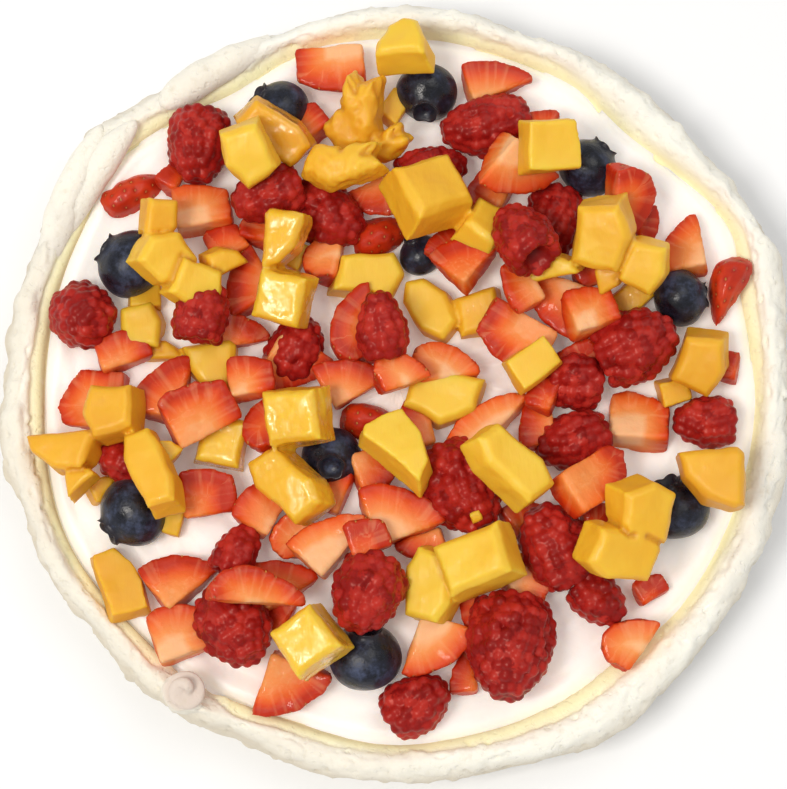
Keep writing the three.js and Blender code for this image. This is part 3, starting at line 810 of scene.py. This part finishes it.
# A whole strawberry of length and width 1, from the stalk's end to the tip.
STRAWBERRY_GIRTH = [(0.18, -0.44), (0.3, -0.5), (0.44, -0.4), (0.5, -0.2), (0.47, 0.02),
                    (0.38, 0.22), (0.24, 0.38), (0.1, 0.48)]
Z_ALONG_X = Matrix(((0, 0, 1, 0), (1, 0, 0, 0), (0, 1, 0, 0), (0, 0, 0, 1)))
# The knife cuts of a strawberry, as the low and high corners that the box cuts keep.
STRAWBERRY_CUTS = {
    "cap": ((-1, -1, 0.2), (1, 1, 1)),
    "slice": ((-1, 0.04, -0.26), (1, 1, 0.02)),
    "wedge": ((-0.15, 0.02, -1), (1, 1, 0.02)),
    "dice": ((-0.3, 0.06, -1), (0.22, 1, 0)),
}


def cut_strawberry(cut, length, width, height):
    """One knife-cut piece of that size, with its middle at the origin."""
    bm = turned_solid(STRAWBERRY_GIRTH, 20)
    bm.transform(Z_ALONG_X)
    for axis in range(3):
        for corner, way in zip(STRAWBERRY_CUTS[cut], (-1, 1)):
            facing = Vector((0, 0, 0))
            facing[axis] = way
            knife = bmesh.ops.bisect_plane(
                bm, geom=bm.verts[:] + bm.edges[:] + bm.faces[:], plane_co=corner, plane_no=facing,
                clear_outer=True)
            edges = [g for g in knife["geom_cut"] if isinstance(g, bmesh.types.BMEdge)]
            if edges:
                bmesh.ops.holes_fill(bm, edges=edges)
    places = np.array([v.co for v in bm.verts])
    size = places.max(0) - places.min(0)
    centre = (places.max(0) + places.min(0)) / 2
    bm.transform(Matrix.Diagonal((length / size[0], width / size[1], height / size[2], 1)) @
                 Matrix.Translation(-centre))
    bmesh.ops.recalc_face_normals(bm, faces=bm.faces)
    return bm


# The smaller pieces between the others: cut, x, y, turn, length, width, height, ripeness.
SMALL_STRAWBERRIES = [
    ("dice", -49.5, 44.5, 10, 14, 11, 10, 0.3), ("dice", -24, 66, 40, 11, 10, 8, 0.7),
    ("wedge", -6, 45.5, 200, 13, 10, 8, 0.8), ("wedge", 25, 79.5, 20, 16, 10, 9, 0.7),
    ("wedge", 33.5, 65, 60, 14, 12, 9, 0.6), ("wedge", 71.5, 34.5, 100, 14, 12, 8, 0.5),
    ("dice", -44.5, 36.5, 30, 9, 9, 8, 0.8), ("dice", -37.5, 39, 80, 9, 9, 8, 0.8),
    ("slice", -19, 32, 80, 13, 9, 8, 0.1), ("wedge", -39, 25, 120, 14, 13, 10, 0.95),
    ("wedge", -40, 14, 10, 14, 9, 8, 0.9), ("cap", -4, 37.5, 20, 15, 10, 7, 0.9),
    ("wedge", 12.5, 35.5, 70, 12, 11, 8, 0.8), ("wedge", 17, 31.5, 50, 14, 12, 8, 0.95),
    ("wedge", 39, 19.5, 160, 18, 14, 10, 0.6), ("dice", 47.5, 17, 20, 12, 11, 9, 0.5),
    ("dice", 29.5, 12.5, 150, 18, 14, 10, 0.75), ("slice", -12, 13.5, 100, 19, 12, 10, 0.8),
    ("wedge", -27, 3, 240, 16, 15, 9, 0.7), ("slice", 11.5, 4.5, 10, 16, 10, 8, 0.2),
    ("dice", -69.5, 8.5, 20, 13, 9, 8, 0.7), ("wedge", -59.5, -1.5, 80, 16, 13, 10, 0.95),
    ("dice", -50, -7.5, 30, 17, 14, 9, 0.75), ("dice", -37.5, -0.5, 10, 11, 10, 8, 0.6),
    ("slice", -33, -11, 90, 15, 10, 9, 0.7), ("wedge", -12, 3, 30, 15, 12, 9, 0.7),
    ("cap", -7.5, -6.5, 350, 16, 10, 7, 0.9), ("slice", 21.5, -10.5, 48, 24, 9, 8, 0.15),
    ("wedge", 31, -7, 100, 16, 9, 8, 0.8), ("dice", -47.5, -27.5, 10, 13, 12, 9, 1.0),
    ("dice", -37, -30.5, 60, 12, 11, 9, 0.6), ("wedge", -4.5, -23.5, 290, 14, 12, 9, 0.8),
    ("wedge", 0.5, -32, 20, 18, 15, 10, 0.6), ("slice", -27.5, -37.5, 80, 14, 10, 8, 0.15),
    ("wedge", -17, -39, 50, 18, 12, 9, 0.2), ("dice", -7.5, -39.5, 20, 10, 9, 6, 1.0),
    ("wedge", -54.5, -48, 40, 16, 13, 9, 0.8), ("dice", -54, -62.5, 20, 14, 13, 9, 0.4),
    ("wedge", 34, -51, 300, 15, 13, 9, 0.5), ("wedge", 10.5, -68, 250, 16, 14, 9, 0.4),
    ("slice", 56.5, -64, 55, 15, 10, 8, 0.2), ("dice", 63, -51.5, 30, 8, 6, 5, 1.0),
    ("dice", 83, 4, 80, 7, 6, 6, 1.0), ("slice", 0, 2, 20, 13, 9, 8, 0.2),
    ("wedge", -27, -47, 30, 16, 12, 8, 0.6), ("dice", 23.5, 49.5, 60, 14, 10, 8, 0.8),
    ("wedge", 15.5, -73, 100, 10, 7, 6, 0.8), ("wedge", 4.5, -41, 200, 12, 9, 8, 0.7),
    ("dice", 29.5, 22.5, 120, 12, 9, 8, 0.5), ("dice", 36, -4, 70, 8, 7, 6, 1.0),
    ("wedge", 64, 40, 290, 10, 7, 6, 0.9),
    ("wedge", -29.5, -58.5, 60, 9, 6, 6, 0.9), ("dice", 44, 10, 40, 9, 8, 7, 1.0),
    ("wedge", -57.5, 53.5, 60, 10, 6, 6, 1.0),
    ("dice", -14, -30, 70, 11, 9, 7, 0.7), ("wedge", 1.5, -9, 100, 15, 10, 8, 0.8),
    ("wedge", 31, -33, 40, 10, 8, 7, 0.8), ("dice", 50, -33, 10, 8, 6, 6, 1.0),
    ("wedge", 17, -58, 130, 10, 7, 7, 0.6), ("slice", 47, 27, 20, 10, 8, 7, 0.9),
]
small_meshes = []
for number, (cut, x, y, turn, length, width, height, ripeness) in enumerate(SMALL_STRAWBERRIES):
    bm = cut_strawberry(cut, length * MM, width * MM, height * MM)
    let_down(bm, x * MM, y * MM, turn, "bed", 1.0 * MM)
    fine_mesh = strawberry_mesh(bm, ripeness, 40 + number)
    all_seeds += press_seeds(fine_mesh, 40 + number)
    small_meshes.append(fine_mesh)
set_piece("small_cut_strawberries", joined(small_meshes), strawberry)
set_piece("strawberry_seeds", seed_mesh(all_seeds), achene)


# ----------------------------------------
# Blueberries: whole, with a thin waxy bloom that makes the dark skin look dusty blue, and a dry
# five-pointed crown round a small hollow at the flower end.

def berry_axis(node, steps):
    """The dimple's middle, the opposite pole and the widest reach from the axis between them."""
    bm = merged_copy(node)
    places = np.array([v.co for v in bm.verts])
    centre = Vector((places.max(0) + places.min(0)) / 2)
    poles = sorted((v.co.copy() for v in bm.verts if len(v.link_edges) == steps),
                   key=lambda p: (p - centre).length)
    dimple, far = poles[0], poles[-1]
    axis = (dimple - far).normalized()
    reach = max(((v.co - far) - axis * (v.co - far).dot(axis)).length for v in bm.verts)
    bm.free()
    return dimple, far, reach


def stood_on(foot, way):
    """The placing that carries Z at the origin to this way at a foot point."""
    return Matrix.Translation(foot) @ way.to_track_quat("Z", "X").to_matrix().to_4x4()


BLUEBERRY_STEPS = 10
CROWN_POINTS = 5


def blueberry_mesh(dimple, far, reach, seed):
    """A whole berry from the far pole to the dimple, round which its crown stands."""
    squash = 0.88
    profile = [(0, 0)]
    for i in range(1, 15):
        rise = math.radians(-90 + 10.5 * i)
        profile.append((reach * math.cos(rise), reach * squash * (1 + math.sin(rise))))
    crown = reach * squash * 2
    profile += [(reach * 0.40, crown * 0.985), (reach * 0.43, crown * 1.03), (reach * 0.36, crown * 1.02),
                (reach * 0.30, crown * 0.93), (reach * 0.16, crown * 0.885), (0, crown * 0.88)]
    bm = turned_solid(profile, 40)
    for vert in bm.verts:
        out = math.hypot(vert.co.x, vert.co.y)
        if vert.co.z > crown and out > reach * 0.2:
            lobe = abs(math.cos(CROWN_POINTS * math.atan2(vert.co.y, vert.co.x) / 2))
            vert.co.z += crown * 0.045 * (lobe - 0.5)
            vert.co.xy *= 1 + 0.22 * (lobe - 0.35)
    mesh = with_modifiers(bm, ("SUBSURF", {"levels": 1, "render_levels": 1}))
    places, normals = points_of(mesh)
    ripples = rough(places, reach * 0.7, seed) * 0.22 + rough(places, reach * 0.2, seed + 3) * 0.05
    near_axis = np.hypot(places[:, 0], places[:, 1]) < reach * 0.6
    set_attribute(mesh, "crown", rising(places[:, 2], crown * 0.93, crown * 0.05) * near_axis)
    set_points(mesh, places + normals * (ripples * MM)[:, None])
    mesh.transform(stood_on(far, dimple - far))
    return mesh


# Blueberry skin: nearly black and glossy where the bloom is rubbed off, and a matt grey blue elsewhere.
blueberry, tree, spot = new_material("blueberry_skin_with_bloom")
crown = add(tree, "Attribute", attribute_name="crown")
rubbed = add(tree, "TexNoise",
             {"Vector": spot, "Scale": 1 / (5.88 * MM), "Detail": 8.0, "Roughness": 0.72})
bloom = add(tree, "MapRange", {"Value": rubbed, "From Min": 0.36, "From Max": 0.68})
skin_tint = add(tree, "ValToRGB", {"Fac": bloom},
                stops=[(0.0, "#090A12"), (0.45, "#171B2A"), (1.0, "#424C68")])
tint = add(tree, "Mix", {0: crown, 6: skin_tint, 7: "#26232B"}, data_type="RGBA")
waxy = add(tree, "MapRange", {"Value": bloom, "To Min": 0.2, "To Max": 0.55})
dress(tree, {
    "Base Color": tint, "Roughness": waxy, "Specular IOR Level": 0.4,
    "Normal": fine_relief(tree, spot, 1.11 * MM, 4, 0.3, 0.4 * MM),
    "Sheen Weight": 0.05, "Sheen Roughness": 0.5})

for number, node in enumerate(n for n in fruit_nodes if n.startswith("blueberry")):
    mesh = blueberry_mesh(*berry_axis(node, BLUEBERRY_STEPS), number)
    set_piece("whole_" + node, mesh, blueberry, node)


# ----------------------------------------
# Raspberries: each is a hollow cone of small juicy drupelets, grown in rings over a thin core and
# picked off its stalk, so that the wide end is open.

RASPBERRY_STEPS = 12
RASPBERRY_GIRTH = [(0.0, 0.24), (0.2, 0.1), (0.36, 0.02), (0.44, 0.06), (0.47, 0.25),
                   (0.455, 0.45), (0.39, 0.65), (0.28, 0.82), (0.15, 0.93), (0.0, 0.97)]
DRUPELET = 2.9 * MM
# The core is thinner than the berry by this much, so the drupelets stand out of it.
CORE_INSET = 3.4 * MM
# How long and how wide a packed berry is beside the grown one.
PACKED_LENGTH = 0.78
PACKED_WIDTH = 1.03

# Rings of drupelets: the girth is a curve over the length, each ring holds what fits round it, and
# every drupelet is moved, turned and sized a little at random.
drupelet_tree, entry = new_growth(
    "rings_of_drupelets", Length="Float", Width="Float", Drupelet="Float", Seed="Int")
tree = drupelet_tree
length, width, drupelet = (entry.outputs[name] for name in ("Length", "Width", "Drupelet"))
spacing = add(tree, "Math", (drupelet, 0.74), operation="MULTIPLY")
ratio = add(tree, "Math", (length, spacing), operation="DIVIDE")
ring_count = add(tree, "Math", [ratio], operation="ROUND")
hoops = add(tree, "GeometryNodePoints", {"Count": ring_count})
index = add(tree, "GeometryNodeInputIndex")
half_on = add(tree, "Math", (index, 0.35), operation="ADD")
share = add(tree, "Math", (half_on, ring_count), operation="DIVIDE")
girth = add(tree, "FloatCurve", {"Value": share})
curve = girth.mapping.curves[0]
for along, across in ((0.12, 0.94), (0.3, 1.0), (0.5, 0.96), (0.7, 0.78), (0.88, 0.46)):
    curve.points.new(along, across)
curve.points[0].location = (0.0, 0.7)
curve.points[-1].location = (1.0, 0.1)
girth.mapping.update()
half_width = add(tree, "Math", (width, 0.5), operation="MULTIPLY")
inset = add(tree, "Math", (drupelet, -0.52, half_width), operation="MULTIPLY_ADD")
reach = add(tree, "Math", (girth, inset), operation="MULTIPLY")
round_it = add(tree, "Math", (reach, 2 * math.pi), operation="MULTIPLY")
fitting = add(tree, "Math", (round_it, drupelet), operation="DIVIDE")
squeezed = add(tree, "Math", (fitting, 1.12), operation="MULTIPLY")
whole_count = add(tree, "Math", [squeezed], operation="CEIL")
stored = hoops
for name, value in (("share", share), ("reach", reach), ("fit", whole_count), ("ring", index)):
    stored = add(tree, "GeometryNodeStoreNamedAttribute", {"Geometry": stored, "Name": name, "Value": value})
share, reach, fit, ring = (
    add(tree, "GeometryNodeInputNamedAttribute", {"Name": name}, data_type="FLOAT")
    for name in ("share", "reach", "fit", "ring"))
copies = add(tree, "GeometryNodeDuplicateElements", {"Geometry": stored, "Amount": fit}, domain="POINT")
part_turn = add(tree, "Math", (copies.outputs[1], fit), operation="DIVIDE")
offset = add(tree, "Math", (ring, 0.37), operation="MULTIPLY")
jitter = add(tree, "FunctionNodeRandomValue", {2: -0.018, 3: 0.018, "Seed": entry.outputs["Seed"]},
             data_type="FLOAT")
shifted = add(tree, "Math", (part_turn, offset), operation="ADD")
jittered = add(tree, "Math", (shifted, jitter), operation="ADD")
turn = add(tree, "Math", (jittered, 2 * math.pi), operation="MULTIPLY")
cosine = add(tree, "Math", [turn], operation="COSINE")
sine = add(tree, "Math", [turn], operation="SINE")
sway = add(tree, "FunctionNodeRandomValue", {2: 0.93, 3: 1.05, "Seed": 3}, data_type="FLOAT")
out_by = add(tree, "Math", (reach, sway), operation="MULTIPLY")
x = add(tree, "Math", (cosine, out_by), operation="MULTIPLY")
y = add(tree, "Math", (sine, out_by), operation="MULTIPLY")
z = add(tree, "Math", (share, length), operation="MULTIPLY")
place = add(tree, "CombineXYZ", (x, y, z))
set_out = add(tree, "GeometryNodeSetPosition", {"Geometry": copies, "Position": place})
tip_pull = add(tree, "Math", (share, -0.45), operation="ADD")
tip_lift = add(tree, "Math", (tip_pull, length), operation="MULTIPLY")
outward = add(tree, "CombineXYZ", (x, y, tip_lift))
facing = add(tree, "FunctionNodeAlignRotationToVector", {"Vector": outward}, axis="Z")
ball = add(tree, "GeometryNodeMeshIcoSphere", {"Radius": 0.5, "Subdivisions": 2})
plump = add(tree, "GeometryNodeTransform", {"Geometry": ball, "Scale": (1.16, 1.12, 1.2)})
uneven = add(tree, "FunctionNodeRandomValue", {2: 0.86, 3: 1.16, "Seed": 7}, data_type="FLOAT")
size = add(tree, "Math", (uneven, drupelet), operation="MULTIPLY")
grown_on = add(tree, "GeometryNodeInstanceOnPoints",
               {"Points": set_out, "Instance": plump, "Rotation": facing, "Scale": size})
ripe_mix = add(tree, "FunctionNodeRandomValue", {2: 0.0, 3: 1.0, "Seed": 9}, data_type="FLOAT")
toned = add(tree, "GeometryNodeStoreNamedAttribute",
            {"Geometry": grown_on, "Name": "tone", "Value": ripe_mix}, domain="INSTANCE")
both = add(tree, "GeometryNodeJoinGeometry", {0: toned})
tree.links.new(entry.outputs["Geometry"], both.inputs[0])
end_growth(tree, entry, both)


# Raspberry drupelets: thin skins over juice, deep red, with soft small highlights and a fine velvet.
raspberry, tree, spot = new_material("raspberry_drupelets")
tone = add(tree, "Attribute", attribute_name="tone")
clouds = add(tree, "TexNoise", {"Vector": spot, "Scale": 1 / (9.1 * MM), "Detail": 3.0})
mixed = add(tree, "Math", (tone, clouds), operation="ADD")
halved = add(tree, "Math", (mixed, 0.5), operation="MULTIPLY")
tint = add(tree, "ValToRGB", {"Fac": halved}, stops=[(0.2, "#7E0E0E"), (0.5, "#A01C18"), (0.8, "#BA3026")])
dress(tree, {
    "Base Color": tint, "Roughness": 0.34, "Normal": fine_relief(tree, spot, 1.33 * MM, 4, 0.25, 0.4 * MM),
    "Subsurface Weight": 0.3, "Subsurface Radius": (1.0, 0.2, 0.15), "Subsurface Scale": 2 * MM,
    "Specular IOR Level": 0.32, "Specular Tint": "#FFD0C4"})


def raspberry_mesh(length, width, seed):
    """A raspberry of that size whose open end is on the origin and whose tip points along Z. The
    drupelets are squeezed together, so only their outer parts stand out of one soft skin."""
    profile = [(across * (width - CORE_INSET), along * length) for across, along in RASPBERRY_GIRTH]
    beads = grown(with_modifiers(turned_solid(profile, 24)), drupelet_tree, Length=length * 0.97,
                  Width=width, Drupelet=DRUPELET, Seed=seed, Material=raspberry)
    bead_places, _ = points_of(beads)
    bead_tones = np.zeros(len(bead_places))
    beads.attributes["tone"].data.foreach_get("value", bead_tones)
    bm = bmesh.new()
    bm.from_mesh(beads)
    mesh = soft_cut(bm, 0.48 * MM, 1)
    nearest, _ = nearest_to(points_of(mesh)[0], bead_places)
    set_attribute(mesh, "tone", bead_tones[nearest])
    return mesh


for number, node in enumerate(n for n in fruit_nodes if n.startswith("raspberry")):
    dimple, tip, reach = berry_axis(node, RASPBERRY_STEPS)
    way = (tip - dimple).normalized()
    length = (tip - dimple).length / PACKED_LENGTH
    mesh = raspberry_mesh(length, 2 * reach / PACKED_WIDTH, number)
    mesh.transform(stood_on(tip - way * length, way))
    set_piece("picked_" + node, mesh, raspberry, node)

# The smaller or half-hidden raspberries: x, y, length, width, compass of the tip, its rise.
SMALL_RASPBERRIES = [
    (9.5, 53.5, 17, 14, 20, 0), (-33.5, 46, 17, 15, 200, 20), (30.5, 35, 18, 15, 120, -20),
    (-48.5, 17.5, 16, 14, 80, 10), (-4, 13, 16, 13, 100, 10), (-40.5, -41.5, 13, 11, 60, 0),
    (-69, -20, 13, 12, 160, 20), (50.5, -55.5, 14, 12.5, 320, 20),
]
small_meshes = []
for number, (x, y, length, width, compass, rise) in enumerate(SMALL_RASPBERRIES):
    mesh = raspberry_mesh(length * MM, width * MM, 30 + number)
    mesh.transform(Matrix.Translation((0, 0, -length * MM / 2)))
    turned = Matrix.Rotation(math.radians(compass), 4, "Z") @ Matrix.Rotation(-math.radians(rise), 4, "Y")
    mesh.transform(stood_on((0, 0, 0), turned @ Vector((1, 0, 0))))
    bm = bmesh.new()
    bm.from_mesh(mesh)
    let_down(bm, x * MM, y * MM, 0, "bed", 1.0 * MM)
    bm.to_mesh(mesh)
    bm.free()
    small_meshes.append(mesh)
set_piece("small_raspberries", joined(small_meshes), raspberry)


# ----------------------------------------
# Mango: ripe flesh cut with a knife into uneven chunks, some torn along the fibres. It is smooth,
# moist and deep yellow, and shines where the juice has run together.

def chunks_of(bm):
    """The number of the chunk that each face belongs to, where chunks meet in sharp inward edges,
    and points along those edges."""
    bm.normal_update()
    seams = {e for e in bm.edges if len(e.link_faces) == 2 and e.calc_face_angle_signed(0) < -0.3}
    chunk_of = {}
    for first in bm.faces:
        if first.index in chunk_of:
            continue
        number = len(set(chunk_of.values()))
        waiting = [first]
        chunk_of[first.index] = number
        while waiting:
            for edge in waiting.pop().edges:
                for face in edge.link_faces:
                    if edge not in seams and face.index not in chunk_of:
                        chunk_of[face.index] = number
                        waiting.append(face)
    seam_points = [edge.verts[0].co.lerp(edge.verts[1].co, step / 40) for edge in seams for step in range(41)]
    return chunk_of, seam_points


def mango_mesh(bm, wet, torn, tone, seed):
    """The fine mesh of one or more chunks, with knife cuts that wander a little, lumps where it is
    torn, and a narrow gap where two chunks touch."""
    bm.faces.ensure_lookup_table()
    bm.faces.index_update()
    chunk_of, seam_points = chunks_of(bm)
    surface = BVHTree.FromBMesh(bm)
    mesh = soft_cut(bm, 0.55 * MM, 80 if torn else 1)
    places, normals = points_of(mesh)
    chunk = np.array([chunk_of[surface.find_nearest(Vector(p))[2]] for p in places])
    gap = band(nearest_to(places, seam_points)[1], 0, 0.75 * MM) if seam_points else 0 * chunk
    warp = np.stack([rough(places, 11 * MM, seed + way) for way in (0.3, 0.6, 0.9)], axis=1) * 0.9
    dents = rough(places, 4.5 * MM, seed + 5) * 0.28 + rough(places, 1.6 * MM, seed + 6) * (0.04 + 0.08 * wet)
    if torn:
        shreds = 0.3 - np.abs(rough(places, 4 * MM, seed + 8))
        dents = dents + shreds * 0.8 + rough(places, 1.9 * MM, seed + 9) * 0.3
    dents = dents - gap * 1.1
    set_points(mesh, places + (warp + normals * dents[:, None]) * MM)
    set_attribute(mesh, "wet", wet)
    set_attribute(mesh, "gap", gap)
    set_attribute(mesh, "tone", np.clip(tone + np.sin(chunk * 2.4) * 0.3, 0, 1))
    return mesh


# Cut mango: dense yellow flesh with fine fibres across it. The wettest chunks have a coat of juice in
# pools and drops, which takes sharp highlights.
mango, tree, spot = new_material("cut_mango_flesh")
wet = add(tree, "Attribute", attribute_name="wet")
tone = add(tree, "Attribute", attribute_name="tone")
drift = add(tree, "TexNoise", {"Vector": spot, "Scale": 1 / (13.3 * MM), "Detail": 3.0})
mixed = add(tree, "Math", (drift, tone), operation="ADD")
halved = add(tree, "Math", (mixed, 0.5), operation="MULTIPLY")
# Painted light: faces that point up are painted paler than the sides, as if lit from above.
facing = add(tree, "NewGeometry")
upward = add(tree, "SeparateXYZ", {"Vector": facing.outputs["Normal"]})
top_painted_light = add(tree, "Math", (upward.outputs["Z"], 0.3, halved), operation="MULTIPLY_ADD")
evened = add(tree, "Math", (top_painted_light, 0.2), operation="SUBTRACT", use_clamp=True)
flesh_tint = add(tree, "ValToRGB", {"Fac": evened},
                 stops=[(0.12, "#DE9A1E"), (0.45, "#ECB32A"), (0.8, "#F0C83E")])
# Painted shade: the narrow gap where two chunks touch is darkened in colour.
gap = add(tree, "Attribute", attribute_name="gap")
gap_painted_shade = add(tree, "Math", (gap, 0.6), operation="MULTIPLY")
tint = add(tree, "Mix", {0: gap_painted_shade, 6: flesh_tint, 7: "#C8801A"}, data_type="RGBA")
along_fibres = add(tree, "Mapping", {"Vector": spot, "Scale": (1, 0.22, 0.6)})
juice = add(tree, "TexNoise", {"Vector": spot, "Scale": 1 / (7.7 * MM), "Detail": 4.0})
pools = add(tree, "MapRange", {"Value": juice, "From Min": 0.46, "From Max": 0.56, "To Min": 0.15})
soaked = add(tree, "MapRange", {"Value": wet, "From Min": 0.3, "To Min": 0.05})
coat = add(tree, "Math", (pools, soaked), operation="MULTIPLY")
film = add(tree, "Math", (juice, wet), operation="MULTIPLY")
gloss = add(tree, "MapRange",
            {"Value": film, "From Min": 0.1, "From Max": 0.55, "To Min": 0.5, "To Max": 0.24})
dress(tree, {
    "Base Color": tint, "Roughness": gloss, "Specular IOR Level": 0.4,
    "Normal": fine_relief(tree, along_fibres, 1.11 * MM, 4, 0.22, 0.4 * MM),
    "Subsurface Weight": 0.55, "Subsurface Radius": (1.0, 0.65, 0.15), "Subsurface Scale": 5 * MM,
    "Coat Weight": coat, "Coat Roughness": 0.06,
    "Coat Normal": fine_relief(tree, spot, 1.61 * MM, 2, 0.8, 0.5 * MM)})

TORN_CHUNKS = ("mango_02", "mango_04")
WET_CHUNKS = ("mango_03", "mango_09", "mango_14", "mango_15", "mango_21")
PALE_CHUNKS = ("mango_01", "mango_05", "mango_10", "mango_14", "mango_16", "mango_17", "mango_21", "mango_22")
DEEP_CHUNKS = ("mango_02", "mango_03", "mango_13", "mango_18", "mango_19")
for number, node in enumerate(n for n in fruit_nodes if n.startswith("mango")):
    wetness = 1.0 if node in WET_CHUNKS else 0.35
    tone = 0.85 if node in PALE_CHUNKS else 0.1 if node in DEEP_CHUNKS else 0.45
    mesh = mango_mesh(merged_copy(node), wetness, node in TORN_CHUNKS, tone, 70 + number)
    set_piece("cut_" + node, mesh, mango, node)

MANGO_CUTS = {
    "cube": [(-0.5, -0.42), (0.42, -0.5), (0.5, 0.4), (-0.4, 0.5)],
    "wedge": [(-0.5, -0.36), (-0.38, -0.5), (0.5, -0.1), (0.34, 0.3), (0, 0.5), (-0.4, 0.46)],
    "fan": [(-0.3, -0.5), (0.5, -0.42), (0.46, -0.02), (0.28, 0.28), (-0.02, 0.5), (-0.5, 0.44)],
}


def mango_chunk(cut, length, width, height):
    """A straight-sided chunk of that size, a little narrower at the top."""
    bm = bmesh.new()
    skin_over(bm, [[bm.verts.new((x * length * taper, y * width * taper, z)) for x, y in MANGO_CUTS[cut]]
                   for z, taper in ((-height / 2, 1), (height / 2, 0.9))])
    return bm


# Further chunks: cut, x, y, turn, length, width, height, layer, tone.
SMALL_MANGOES = [
    ("cube", 37.5, 56.5, 10, 15, 14, 11, "top", 0.7), ("wedge", 1, -19.5, 303, 22, 14, 10, "top", 0.9),
    ("cube", 33.5, 3.5, 40, 14, 10, 8, "top", 0.6), ("fan", -66, -47.5, 8, 13.5, 19, 6, "top", 0.1),
    ("cube", 19.5, -35, 30, 3.5, 3.2, 2.5, "top", 0.4), ("cube", 69.5, -2, 20, 9, 8, 7, "bed", 0.2),
    ("cube", 59, 21.5, 50, 11, 8, 7, "bed", 0.3), ("wedge", -55.5, -17, 30, 12, 9, 8, "bed", 0.4),
    ("cube", -1, 71, 60, 10, 7, 6, "bed", 0.3), ("cube", -64.5, 22, 10, 10, 7, 6, "bed", 0.3),
    ("wedge", -74.5, -24.5, 40, 8, 6, 6, "bed", 0.1), ("cube", -23.5, 32, 70, 9, 7, 7, "bed", 0.5),
    ("cube", -56.5, -35, 80, 8, 6, 6, "bed", 0.4),
]
small_meshes = []
for number, (cut, x, y, turn, length, width, height, layer, tone) in enumerate(SMALL_MANGOES):
    bm = mango_chunk(cut, length * MM, width * MM, height * MM)
    let_down(bm, x * MM, y * MM, turn, layer, 1.5 * MM)
    small_meshes.append(mango_mesh(bm, 0.35, False, tone, 100 + number))
set_piece("small_mango_chunks", joined(small_meshes), mango)
